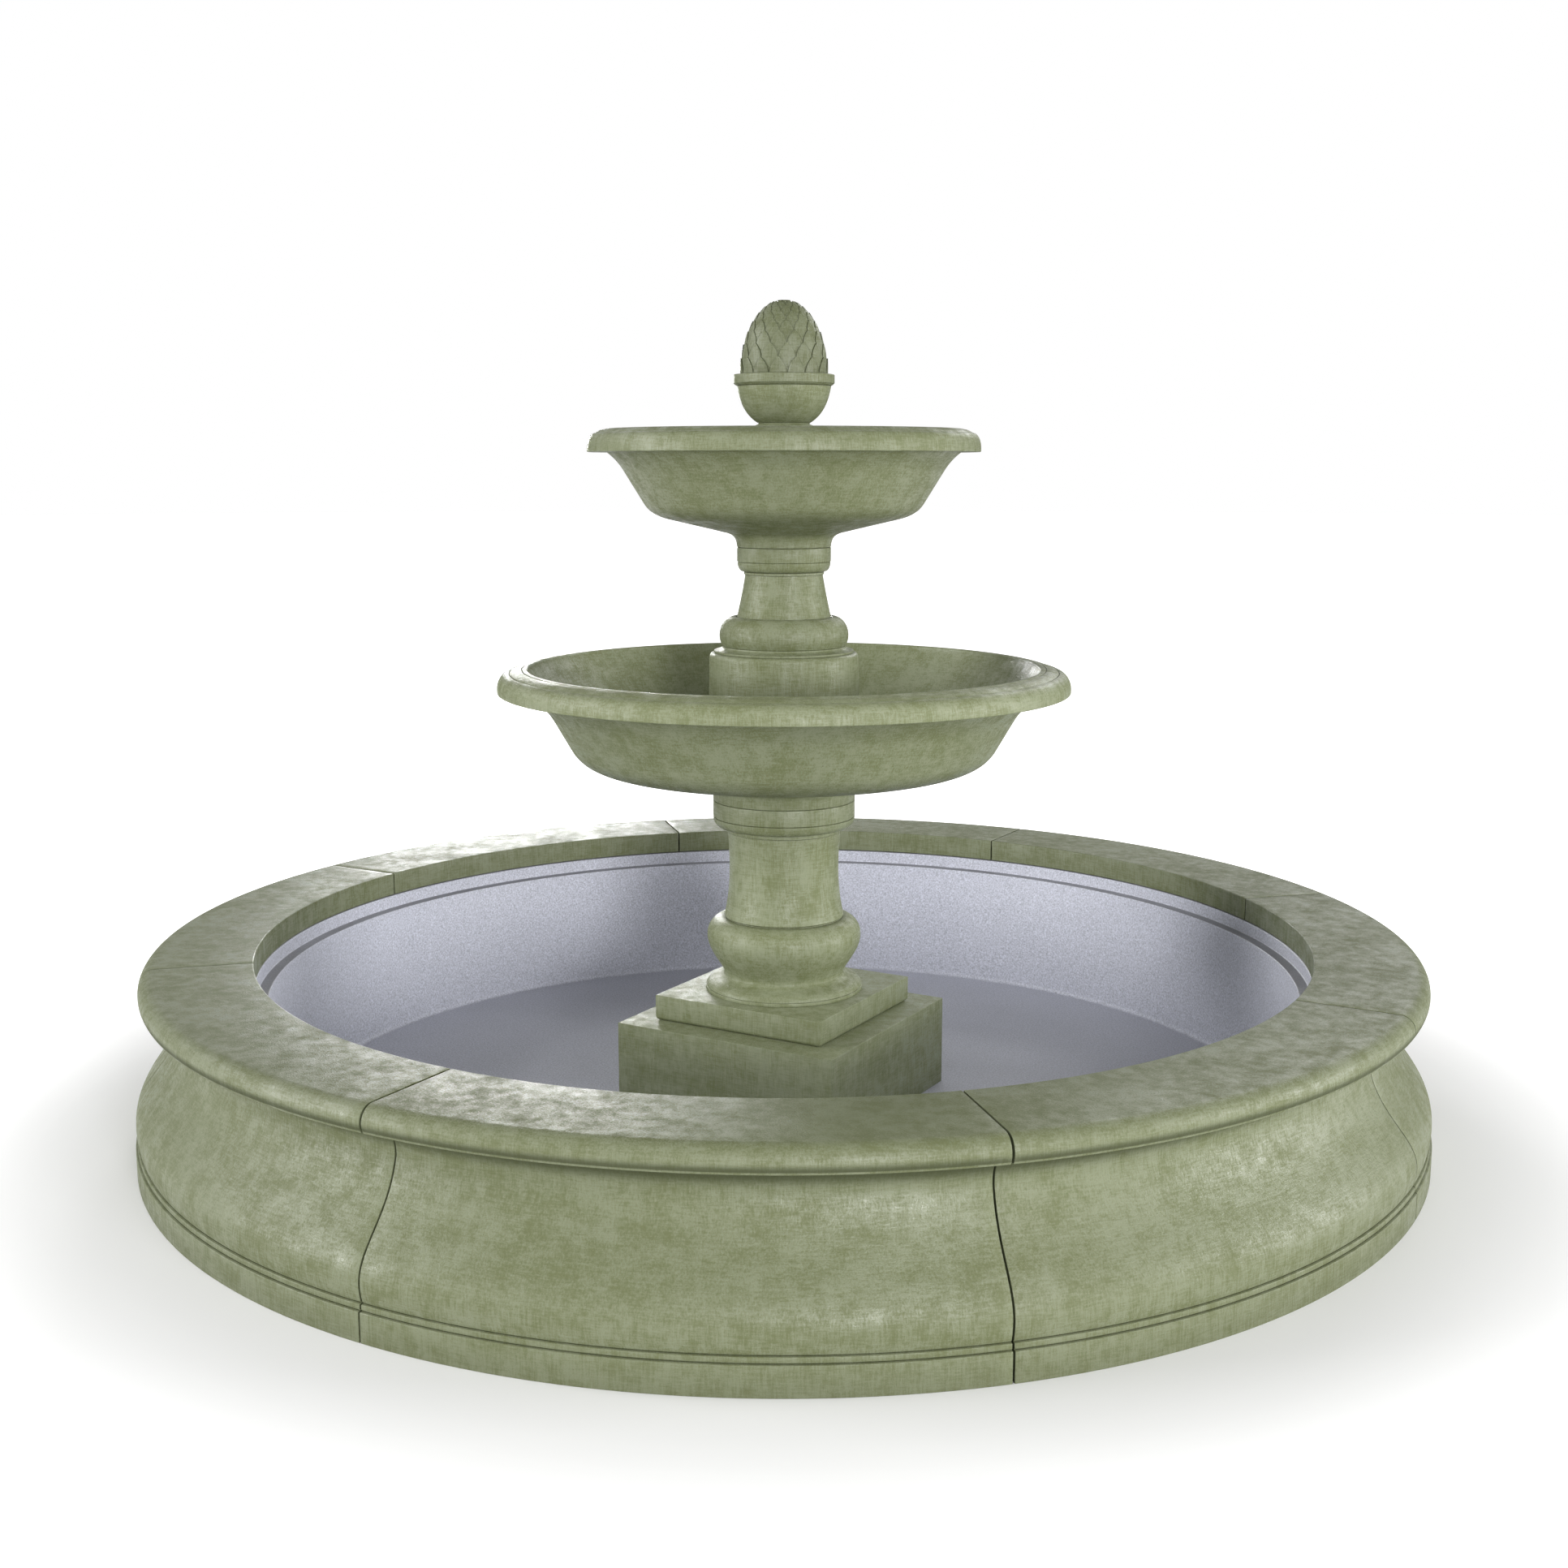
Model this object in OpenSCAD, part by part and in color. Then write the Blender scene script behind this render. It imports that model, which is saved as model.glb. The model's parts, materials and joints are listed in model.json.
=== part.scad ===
// Two-tier garden fountain standing in a round pool, in millimetres, +Z up.
// Origin: ground level, on the vertical axis of the fountain.
// Stone joints of the pool lie at 0, 45, 90 ... degrees; the plinth's faces lie along X and Y.

/* [Pool surround] */
// Number of stones in the ring
segments = 8; // [6:2:8]
// Radius of the coping's inner face
coping_inner_r = 1250; // [1200:10:1300]
// Radius of the coping's outer edge
coping_outer_r = 1500.5; // [1490:0.5:1510]
// Height of the coping's top, a comfortable seat
coping_top = 437; // [430:1:450]
// Thickness of the coping
coping_t = 59; // [55:1:62]
// Open joint between stones, measured at the coping's middle
joint_gap = 4; // [2:0.5:6]
// Radius of the wall's narrow neck
neck_r = 1410.6; // [1405:0.2:1415]
// Radius of the wall's belly
belly_r = 1518.8; // [1510:0.2:1519]
// Radius of the wall's straight foot
foot_r = 1522; // [1520:1:1530]
// Height of the wall's straight foot
foot_h = 63; // [55:1:64]
// Radius of the wall's flat inner face
wall_inner_r = 1330; // [1310:5:1340]

/* [Pool liner] */
// Thickness of the moulded liner
liner_t = 6; // [4:0.5:6]
// Radius of the pool floor
liner_floor_r = 1206; // [1190:1:1208]
// Radius at the top of the liner's sloping side
liner_side_r = 1222; // [1215:1:1230]
// Height of the narrow ledge inside the liner
ledge_z = 342; // [330:1:350]
// Height of the pool floor above the ground
pool_floor_z = 12; // [12:0.5:14]

/* [Plinth and slab] */
// Width of the square plinth
plinth_w = 586; // [560:2:600]
// Height of the plinth
plinth_h = 218; // [210:1:226]
// Wall thickness of the plinth
plinth_wall = 48; // [40:1:52]
// Width of the square slab on the plinth
slab_w = 455; // [440:1:470]
// Thickness of the slab
slab_h = 62; // [50:1:70]
// Width of the pump door
door_w = 260; // [220:2:280]
// Height of the pump door
door_h = 134; // [120:1:138]
// Thickness of the pump door
door_t = 30; // [24:1:34]

/* [Pedestals] */
// Height of the lower pedestal
lower_ped_h = 467; // [460:1:480]
// Radius of the lower pedestal's collar
lower_collar_r = 171; // [165:1:175]
// Height of the upper pedestal
upper_ped_h = 248; // [248:1:252]
// Radius of the upper pedestal's collar
upper_collar_r = 111; // [108:0.5:112]
// Radius of the drum under the upper pedestal
drum_r = 178; // [172:1:182]

/* [Bowls] */
// Radius of the lower bowl's rim
lower_bowl_r = 680; // [670:1:700]
// Height of the lower bowl's rim above its stem
lower_bowl_h = 322; // [322:1:326]
// Radius of the upper bowl's rim
upper_bowl_r = 460; // [450:1:470]
// Height of the upper bowl's rim above its stem
upper_bowl_h = 273; // [273:1:276]

/* [Finial] */
// Largest radius of the finial's scaled cone
cone_r = 103; // [98:0.5:106]
// Height of the finial's scaled cone
cone_h = 168; // [160:1:175]
// Radius of the collar round the cup
finial_collar_r = 118; // [114:0.5:120]

/* [Water works] */
// Outside radius of the riser pipe
pipe_r = 16.7; // [16:0.1:17]
// Bore radius of the riser pipe
pipe_bore_r = 13; // [11:0.5:14]
// Radius of the impeller
impeller_r = 28; // [24:0.5:29]
// Radius of the pump's shaft
shaft_r = 3; // [2.5:0.5:3.5]
// Distance of the drain behind the fountain's axis
drain_dist = 520; // [480:10:700]

/* [Hidden] */
$fn = 96;
e = 0.01;
pitch = 360 / segments;
gap_angle = joint_gap / (2 * PI * 1350) * 360;
coping_bottom = coping_top - coping_t;
cove_r = coping_outer_r - 20;

plinth_top = pool_floor_z + plinth_h;
slab_top = plinth_top + slab_h;
seam = 1;
lower_ped_top = slab_top + lower_ped_h;
lower_bowl_z = lower_ped_top + seam;
lower_lip_z = lower_bowl_z + lower_bowl_h - 55;
lower_floor_z = lower_bowl_z + 92;
drum_top = lower_lip_z + 88;
upper_ped_top = drum_top + upper_ped_h;
upper_bowl_z = upper_ped_top + seam;
upper_lip_z = upper_bowl_z + upper_bowl_h - 53;
upper_floor_z = upper_bowl_z + 88;
finial_z = upper_lip_z + 52;
collar_z = finial_z + 105;
collar_h = 21;
cone_z = collar_z + collar_h;
finial_top = cone_z + cone_h;

core_r = 40;
drum_core_r = 138;
stem_bore_r = 25;
chamber_top = plinth_top - 50;
door_gap = 2;
door_face_y = plinth_w / 2;
strap_z = 250;
strap_half_angle = 4;
bolt_angle = 2.6;
bolt_r = 6;

pump_z = 66;
foot_pad_h = 12;
motor_r = 40;
motor_back_x = -130;
volute_half_w = 18;
strainer_end_x = 72;
valve_z = 140;
valve_half_h = 26;
ball_r = 17;
pipe_bottom_z = valve_z + 14;
pipe_joint_z = 980;
pipe_top_z = finial_top - 48;
drain_angle = 120;
drain_seat_r = 24;
drain_tail_r = 20;

stone = [0.55, 0.57, 0.46];
liner_grey = [0.62, 0.62, 0.67];
black_plastic = [0.09, 0.10, 0.10];
white_plastic = [0.82, 0.83, 0.82];
rubber_black = [0.05, 0.05, 0.05];
brass = [0.72, 0.58, 0.30];
steel = [0.62, 0.63, 0.64];

// ---------- curves ----------

// Cubic curve from a to d, drawn towards b and c; from_i = 1 leaves out its first point
function curve(a, b, c, d, n = 8, from_i = 1) =
    [for (i = [from_i:n])
        let (t = i / n, s = 1 - t)
        a * s * s * s + 3 * b * s * s * t + 3 * c * s * t * t + d * t * t * t];

// Elliptical arc about c, from angle a0 to a1
function arc(c, rx, rz, a0, a1, n = 6, from_i = 1) =
    [for (i = [from_i:n])
        let (a = a0 + (a1 - a0) * i / n)
        [c[0] + rx * cos(a), c[1] + rz * sin(a)]];

module ring(outline, angle = 360) {
    rotate_extrude(angle = angle) polygon(outline);
}

// One stone of the ring, number i of the segments
module ring_stone(i, outline) {
    rotate([0, 0, i * pitch + gap_angle / 2]) ring(outline, pitch - gap_angle);
}

module tube(outer_r, inner_r, h) {
    difference() {
        cylinder(r = outer_r, h = h);
        translate([0, 0, -e]) cylinder(r = inner_r, h = h + 2 * e);
    }
}

module along_x(x, y = 0, z = 0) {
    translate([x, y, z]) rotate([0, 90, 0]) children();
}

// ---------- pool surround ----------

nose_r = 32.5;

function coping_outline() = concat(
    [[coping_inner_r + 1.5, coping_bottom], [coping_inner_r, coping_bottom + 1.5]],
    [[coping_inner_r, coping_top - 3], [coping_inner_r + 3, coping_top]],
    arc([coping_outer_r - nose_r, coping_top - nose_r], nose_r, nose_r, 90, -45, 12, 0),
    [[coping_outer_r - 16, coping_bottom]]);

function wall_outline() = concat(
    [[wall_inner_r, 0], [foot_r - 2, 0], [foot_r, 2], [foot_r, foot_h - 5], [foot_r - 2, foot_h - 3]],
    [[foot_r - 7, foot_h - 2.5], [foot_r - 7, foot_h - 1], [foot_r - 4.5, foot_h]],
    [[foot_r - 4.5, foot_h + 8.5], [foot_r - 6, foot_h + 10]],
    [[foot_r - 11, foot_h + 10.5], [foot_r - 11, foot_h + 12]],
    curve([foot_r - 8.5, foot_h + 13], [belly_r - 3, foot_h + 20],
        [belly_r, foot_h + 35], [belly_r, foot_h + 49], 5),
    curve([belly_r, foot_h + 49], [belly_r, foot_h + 115],
        [neck_r + 22, foot_h + 150], [neck_r, foot_h + 256], 16),
    curve([neck_r, foot_h + 256], [neck_r, coping_bottom - 15],
        [neck_r + 26, coping_bottom - 1], [cove_r, coping_bottom], 10),
    [[wall_inner_r + 26, coping_bottom]],
    [[wall_inner_r + 26, coping_bottom - 8], [wall_inner_r, coping_bottom - 8]]);

module coping_stone(i) {
    color(stone) ring_stone(i, coping_outline());
}

module wall_segment(i) {
    color(stone)
    difference() {
        ring_stone(i, wall_outline());
        for (a = [i * pitch + bolt_angle, (i + 1) * pitch - bolt_angle])
            rotate([0, 0, a]) along_x(wall_inner_r - 5, 0, strap_z) cylinder(r = bolt_r + 0.1, h = 65);
    }
}

module segment_straps() {
    color(steel)
    for (i = [0:segments - 1])
        difference() {
            rotate([0, 0, i * pitch - strap_half_angle])
                ring([[wall_inner_r - 4.5, strap_z - 18], [wall_inner_r - 0.5, strap_z - 18],
                    [wall_inner_r - 0.5, strap_z + 18], [wall_inner_r - 4.5, strap_z + 18]],
                    2 * strap_half_angle);
            for (s = [-1, 1])
                rotate([0, 0, i * pitch + s * bolt_angle])
                    along_x(wall_inner_r - 10, 0, strap_z) cylinder(r = bolt_r + 0.1, h = 20);
        }
}

module strap_bolts() {
    color(steel)
    for (i = [0:segments - 1])
        for (s = [-1, 1])
            rotate([0, 0, i * pitch + s * bolt_angle])
                along_x(wall_inner_r - 12.8, 0, strap_z) {
                    cylinder(r = 11, h = 8, $fn = 6);
                    translate([0, 0, 7]) cylinder(r = bolt_r, h = 60);
                }
}

// ---------- pool floor ----------

module floor_mat() {
    color(rubber_black)
    difference() {
        cylinder(r = liner_floor_r - 6, h = pool_floor_z - liner_t);
        at_drain(-e) cylinder(r = drain_tail_r + 8, h = pool_floor_z);
    }
}

flange_z = coping_bottom - 2;

function liner_outline() = concat(
    [[0, pool_floor_z - liner_t], [liner_floor_r, pool_floor_z - liner_t]],
    arc([liner_floor_r, pool_floor_z + 8], 14, 14, -90, 0, 4),
    [[liner_side_r + liner_t, ledge_z - liner_t], [coping_inner_r + liner_t, ledge_z - liner_t]],
    [[coping_inner_r + liner_t, flange_z - liner_t], [wall_inner_r + 24, flange_z - liner_t]],
    [[wall_inner_r + 24, flange_z], [coping_inner_r + 5, flange_z]],
    arc([coping_inner_r + 5, flange_z - 5], 5, 5, 90, 180, 3),
    [[coping_inner_r, ledge_z], [liner_side_r + 2, ledge_z], [liner_side_r, ledge_z - 2]],
    [[liner_floor_r + 8, pool_floor_z + 8]],
    arc([liner_floor_r, pool_floor_z + 8], 8, 8, 0, -90, 4),
    [[0, pool_floor_z]]);

module pool_liner() {
    color(liner_grey)
    difference() {
        ring(liner_outline());
        at_drain(-e) cylinder(r = drain_tail_r + 6.2, h = 60);
    }
}

// ---------- plinth ----------

module plinth() {
    inner_w = plinth_w - 2 * plinth_wall;
    color(stone)
    difference() {
        translate([-plinth_w / 2, -plinth_w / 2, pool_floor_z]) cube([plinth_w, plinth_w, plinth_h]);
        translate([-inner_w / 2, -inner_w / 2, pool_floor_z - e])
            cube([inner_w, inner_w, chamber_top - pool_floor_z]);
        translate([0, 0, chamber_top - 1]) cylinder(r = core_r, h = 60);
        translate([-door_w / 2, door_face_y - door_t - door_gap, pool_floor_z - e])
            cube([door_w, door_t + 10, door_h]);
        translate([-door_w / 2 + 14, 0, pool_floor_z - e])
            cube([door_w - 28, door_face_y, door_h - 10]);
    }
}

module pump_door() {
    color(stone)
    difference() {
        translate([-door_w / 2 + door_gap, door_face_y - door_t - 1.5, pool_floor_z + 2])
            cube([door_w - 2 * door_gap, door_t + 1.5, door_h - 2 - door_gap]);
        translate([-35, door_face_y - door_t - 5, pool_floor_z + 1]) cube([70, door_t + 10, 27]);
        pull_at() translate([0, 0, -14]) cylinder(r = 5.1, h = 20);
    }
}

// Centre of the pull, on the door's outer face, looking outwards
module pull_at() {
    translate([0, door_face_y, pool_floor_z + 88]) rotate([-90, 0, 0]) children();
}

module door_pull() {
    color(brass)
    pull_at()
        difference() {
            union() {
                translate([0, 0, -12]) cylinder(r = 5, h = 30);
                cylinder(r = 15, h = 3);
                translate([0, 0, 14])
                    ring(concat([[0, 0], [8, 0]], arc([10, 6], 6, 6, -90, 90, 8), [[0, 12]]));
            }
            translate([0, 0, 22]) cylinder(r = 4, h = 10);
        }
}

module plinth_slab() {
    half = slab_w / 2;
    bottom_in = 9;
    color(stone)
    difference() {
        hull() {
            translate([-half, -half, plinth_top + bottom_in]) cube([slab_w, slab_w, slab_h - bottom_in]);
            translate([-half + 4, -half + 4, plinth_top + 2.5])
                cube([slab_w - 8, slab_w - 8, slab_h - bottom_in]);
            translate([-half + bottom_in, -half + bottom_in, plinth_top])
                cube([slab_w - 2 * bottom_in, slab_w - 2 * bottom_in, slab_h - bottom_in]);
        }
        translate([0, 0, plinth_top - 1]) cylinder(r = core_r, h = slab_h + 2);
    }
}

// ---------- pedestals ----------

function lower_pedestal_outline(z) = concat(
    [[core_r, z], [190, z], [192, z + 2], [192, z + 7], [190.5, z + 9]],
    curve([190, z + 9], [187, z + 27], [160, z + 26], [147, z + 38], 8),
    curve([147, z + 38], [138, z + 50], [187, z + 92], [187, z + 132], 10),
    arc([147, z + 136], 40, 42, 0, 90, 9, 0),
    [[143, z + 178], [142, z + 181], [145, z + 182.5]],
    curve([145, z + 182.5], [129, z + 253], [130, z + 318], [137, z + 392], 12),
    [[141, z + 392], [141, z + 401], [150, z + 402.5]],
    arc([151, z + 426], 20, 23.5, -90, 0, 6),
    [[lower_collar_r - 2, z + 428], [lower_collar_r, z + 430], [lower_collar_r, z + lower_ped_h]],
    [[core_r, z + lower_ped_h]]);

module lower_pedestal() {
    color(stone) ring(lower_pedestal_outline(slab_top));
}

function upper_pedestal_outline(z) = concat(
    [[core_r, z], [164, z], [166, z + 2], [166, z + 5]],
    curve([166, z + 5], [158, z + 7], [152, z + 8], [148, z + 12], 4),
    [[148, z + 13]],
    arc([118, z + 40], 35.7, 40, -40, 0, 4),
    arc([118, z + 40], 35.7, 45, 0, 78, 8),
    [[118, z + 85], [115, z + 83], [113, z + 80], [111.5, z + 84]],
    curve([111.5, z + 84], [104, z + 120], [97, z + 150], [92, z + 185], 8),
    [[95, z + 185], [95, z + 191], [97, z + 192]],
    arc([98, z + 213], 12, 21, -85, 0, 6),
    [[upper_collar_r - 1.5, z + 214.5], [upper_collar_r, z + 216]],
    [[upper_collar_r, z + upper_ped_h], [core_r, z + upper_ped_h]]);

module upper_pedestal() {
    color(stone) ring(upper_pedestal_outline(drum_top));
}

module pedestal_drum() {
    color(stone)
    ring(concat(
        [[drum_core_r, lower_floor_z], [drum_r + 3, lower_floor_z]],
        curve([drum_r + 3, lower_floor_z], [drum_r + 3, lower_floor_z + 150],
            [drum_r, lower_floor_z + 180], [drum_r, drum_top - 12], 5),
        arc([drum_r - 11, drum_top - 12], 11, 12, 0, 90, 5),
        [[stem_bore_r, drum_top], [stem_bore_r, drum_top - 40], [drum_core_r, drum_top - 40]]));
}

// ---------- bowls ----------

// Rim section of a bowl: quarter round outside, a fine step, a sloping band, then the inner edge
function rim_outline(r, z, h, k) = concat(
    [[r - 3, z], [r, z + 3], [r, z + 8]],
    arc([r - 18 * k, z + 8], 18 * k, h - 18, 0, 80, 7),
    [[r - 18 * k, z + h - 8], [r - 20 * k, z + h - 9]],
    curve([r - 20 * k, z + h - 9], [r - 26 * k, z + h - 5],
        [r - 32 * k, z + h - 2], [r - 38 * k, z + h - 1.5], 4),
    [[r - 39 * k, z + h - 3], [r - 41 * k, z + h - 0.5], [r - 45 * k, z + h]],
    arc([r - 45 * k, z + h - 6], 6, 6, 90, 180, 4));

function lower_bowl_outline() =
    let (r = lower_bowl_r, z = lower_lip_z, f = lower_floor_z, s = lower_bowl_z)
    concat(
    [[stem_bore_r, s], [lower_collar_r, s], [lower_collar_r, z - 250]],
    curve([lower_collar_r, z - 250], [lower_collar_r + 1, z - 236],
        [lower_collar_r + 8, z - 230], [200, z - 227], 5),
    [[400, z - 194.5]],
    curve([400, z - 194.5], [450, z - 186], [484, z - 176], [507, z - 140], 9),
    [[550, z - 65]],
    curve([550, z - 65], [562, z - 44], [588, z - 14], [613, z], 6),
    rim_outline(r, z, 55, 1.5),
    curve([r - 45 * 1.5 - 6, z + 49], [535, z - 60], [480, f], [335, f], 14),
    [[stem_bore_r, f]]);

module lower_bowl() {
    color(stone) ring(lower_bowl_outline());
}

function upper_bowl_outline() =
    let (r = upper_bowl_r, z = upper_lip_z, f = upper_floor_z, s = upper_bowl_z)
    concat(
    [[stem_bore_r, s], [upper_collar_r, s]],
    curve([upper_collar_r, s], [upper_collar_r + 2, z - 200],
        [118, z - 192], [138, z - 186.5], 6),
    [[268, z - 156]],
    curve([268, z - 156], [300, z - 149], [317, z - 138], [329, z - 119], 8),
    [[375, z - 44]],
    curve([375, z - 44], [384, z - 29], [396, z - 14], [415, z], 6),
    rim_outline(r, z, 53, 1),
    curve([r - 51, z + 47], [356, z - 45], [322, f], [225, f], 14),
    [[stem_bore_r, f]]);

module upper_bowl() {
    color(stone) ring(upper_bowl_outline());
}

// ---------- finial ----------

module finial_block() {
    block_r = 86;
    color(stone)
    ring(concat(
        [[core_r, upper_floor_z], [block_r + 2, upper_floor_z], [block_r, finial_z - 10]],
        arc([block_r - 9, finial_z - 10], 9, 10, 0, 90, 5),
        [[stem_bore_r, finial_z], [stem_bore_r, finial_z - 30], [core_r, finial_z - 30]]));
}

function finial_outline() = concat(
    [[stem_bore_r, finial_z], [72, finial_z], [72, finial_z + 4], [66, finial_z + 10.5]],
    curve([66, finial_z + 10.5], [61, finial_z + 11.5], [60, finial_z + 12.5], [60, finial_z + 14.5], 4),
    curve([60, finial_z + 14.5], [90, finial_z + 32], [104, finial_z + 62], [110, finial_z + 100], 10),
    [[finial_collar_r - 3, collar_z - 2], [finial_collar_r, collar_z + 3]],
    [[finial_collar_r, collar_z + collar_h - 3], [finial_collar_r - 4, cone_z]],
    arc([0, cone_z - 7], cone_r, cone_h + 9, 3, 81, 22, 0),
    [[15.4, finial_top], [9.5, finial_top], [9.5, finial_top - 47], [stem_bore_r, finial_top - 47]]);

module finial() {
    color(stone) ring(finial_outline());
}

// ---------- water works ----------

module outlet_nozzle() {
    color(brass)
    difference() {
        union() {
            translate([0, 0, finial_top - 47.5]) cylinder(r = 9.4, h = 47.5);
            translate([0, 0, pipe_top_z - 18]) cylinder(r = 22, h = 18.8);
        }
        translate([0, 0, pipe_top_z - 19]) cylinder(r = pipe_r + 0.1, h = 18.5);
        translate([0, 0, pipe_top_z - 10]) cylinder(r = 6, h = 70);
    }
}

module riser_pipe(z0, z1) {
    color(white_plastic) translate([0, 0, z0]) tube(pipe_r, pipe_bore_r, z1 - z0);
}

module riser_pipe_lower() {
    riser_pipe(pipe_bottom_z, pipe_joint_z - 0.5);
}

module riser_pipe_upper() {
    riser_pipe(pipe_joint_z + 0.5, pipe_top_z - 1);
}

module pipe_coupling() {
    color(white_plastic) translate([0, 0, pipe_joint_z - 35]) tube(22, pipe_r + 0.05, 70);
}

// Rubber seal round the pipe where it passes through a bowl's floor
module bowl_seal(floor_z) {
    color(rubber_black)
    ring([[pipe_r + 0.05, floor_z - 30], [stem_bore_r - 1, floor_z - 30], [stem_bore_r - 0.2, floor_z],
        [stem_bore_r + 9, floor_z], [stem_bore_r + 8, floor_z + 5], [pipe_r + 0.05, floor_z + 5]]);
}

module lower_bowl_seal() {
    bowl_seal(lower_floor_z);
}

module upper_bowl_seal() {
    bowl_seal(upper_floor_z);
}

// Thin pads that level each bowl on its pedestal
module setting_pads() {
    color(rubber_black)
    for (a = [0:120:240])
        rotate([0, 0, a + 15]) {
            translate([125, 0, lower_ped_top]) cylinder(r = 22, h = seam);
            translate([80, 0, upper_ped_top]) cylinder(r = 16, h = seam);
        }
}

// ---------- pump ----------

module pump_housing() {
    color(black_plastic)
    difference() {
        union() {
            along_x(motor_back_x, 0, pump_z)
                ring(concat([[0, 0], [motor_r - 8, 0]], arc([motor_r - 8, 8], 8, 8, -90, 0, 4),
                    [[motor_r, 104], [motor_r + 6, 104], [motor_r + 6, 112], [0, 112]]));
            translate([-124, -46, pool_floor_z + foot_pad_h]) cube([106, 92, 7]);
            for (y = [-34, 28])
                translate([-120, y, pool_floor_z + foot_pad_h + 6]) cube([98, 6, 20]);
            for (x = [-112:14:-42])
                along_x(x, 0, pump_z) tube(motor_r + 3, motor_r - 1, 4);
        }
        along_x(-112, 0, pump_z) cylinder(r = 14, h = 100);
        along_x(-30, 0, pump_z) cylinder(r = 20, h = 20);
        along_x(motor_back_x - 1, 0, pump_z + 22) cylinder(r = 6.1, h = 14);
    }
}

module pump_volute() {
    color(black_plastic)
    difference() {
        union() {
            along_x(-volute_half_w, 0, pump_z) cylinder(r = motor_r, h = 2 * volute_half_w);
            along_x(-volute_half_w, 0, pump_z) cylinder(r = motor_r + 6, h = 8);
            translate([0, 0, pump_z]) cylinder(r = pipe_r, h = 60);
        }
        along_x(-volute_half_w - 1, 0, pump_z) cylinder(r = impeller_r + 3, h = 2 * volute_half_w - 7);
        along_x(0, 0, pump_z) cylinder(r = 15, h = 30);
        translate([0, 0, pump_z]) cylinder(r = pipe_bore_r, h = 70);
    }
}

module pump_strainer() {
    cage_len = strainer_end_x - volute_half_w;
    slot_count = 24;
    color(black_plastic)
    difference() {
        along_x(volute_half_w, 0, pump_z) cylinder(r = motor_r + 2, h = cage_len);
        along_x(volute_half_w - 1, 0, pump_z) cylinder(r = motor_r - 2, h = cage_len - 3);
        for (i = [0:slot_count - 1])
            along_x(volute_half_w + 8, 0, pump_z) rotate([0, 0, i * 360 / slot_count])
                translate([motor_r - 6, -1.5, 0]) cube([12, 3, cage_len - 18]);
    }
}

module impeller() {
    blades = 6;
    color(white_plastic)
    difference() {
        union() {
            along_x(-14, 0, pump_z) cylinder(r = impeller_r, h = 3);
            along_x(-14, 0, pump_z) cylinder(r = 7, h = 20);
            for (i = [0:blades - 1])
                along_x(-12, 0, pump_z) rotate([0, 0, i * 360 / blades])
                    translate([4, -1.2, 0]) cube([impeller_r - 5, 2.4, 13]);
        }
        along_x(-15, 0, pump_z) cylinder(r = shaft_r, h = 16);
    }
}

module pump_rotor() {
    color(steel)
    difference() {
        along_x(-88, 0, pump_z) cylinder(r = 13.2, h = 56);
        along_x(-89, 0, pump_z) cylinder(r = shaft_r, h = 60);
    }
}

module pump_shaft() {
    color(white_plastic) along_x(-108, 0, pump_z) cylinder(r = shaft_r, h = 109);
}

module pump_bushes() {
    color(rubber_black) {
        along_x(-110, 0, pump_z) tube(14, shaft_r + 0.05, 12);
        along_x(-29, 0, pump_z) tube(20, shaft_r + 0.05, 8);
    }
}

module pump_seal_ring() {
    color(rubber_black) along_x(-volute_half_w - 2.9, 0, pump_z) tube(19.8, 15, 2.9);
}

module pump_feet() {
    color(rubber_black)
    for (x = [-112, -34])
        for (y = [-34, 34])
            translate([x, y, pool_floor_z])
                ring([[0, 0], [13, 0], [12, 3], [7, 6], [7, foot_pad_h], [0, foot_pad_h]]);
}

module cable_gland() {
    color(black_plastic)
    along_x(motor_back_x - 22, 0, pump_z + 22)
        difference() {
            union() {
                cylinder(r = 9, h = 12);
                translate([0, 0, 11]) cylinder(r = 11, h = 11, $fn = 6);
                translate([0, 0, 21]) cylinder(r = 6, h = 13);
            }
            translate([0, 0, -1]) cylinder(r = 3.5, h = 28);
        }
}

// ---------- valve ----------

module valve_body() {
    color(white_plastic)
    translate([0, 0, valve_z])
    difference() {
        union() {
            translate([0, 0, -valve_half_h]) cylinder(r = 22, h = 2 * valve_half_h);
            rotate([-90, 0, 0]) cylinder(r = 12, h = 28);
        }
        translate([0, 0, 14]) cylinder(r = pipe_r + 0.05, h = 20);
        translate([0, 0, -34]) cylinder(r = pipe_r + 0.05, h = 20);
        cylinder(r = pipe_bore_r, h = 40, center = true);
        sphere(r = ball_r + 0.3);
        rotate([-90, 0, 0]) cylinder(r = 5.05, h = 40);
    }
}

module valve_ball() {
    color(steel)
    translate([0, 0, valve_z])
    difference() {
        union() {
            sphere(r = ball_r);
            rotate([-90, 0, 0]) cylinder(r = 5, h = 30);
        }
        cylinder(r = pipe_bore_r, h = 40, center = true);
    }
}

module valve_handle() {
    color([0.55, 0.12, 0.10])
    translate([0, 28.3, valve_z])
    difference() {
        union() {
            rotate([-90, 0, 0]) cylinder(r = 11, h = 12);
            hull()
                for (s = [-1, 1])
                    translate([0, 3, s * 20]) rotate([-90, 0, 0]) cylinder(r = 7, h = 7, $fn = 32);
        }
        rotate([-90, 0, 0]) translate([0, 0, -2]) cylinder(r = 5, h = 3.7);
    }
}

module valve_collars() {
    color(steel)
    for (z = [valve_z - valve_half_h + 3, valve_z + valve_half_h - 9])
        translate([0, 0, z]) tube(24, 22.02, 6);
}

// ---------- drain ----------

module at_drain(z) {
    rotate([0, 0, drain_angle]) translate([drain_dist, 0, z]) children();
}

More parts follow.
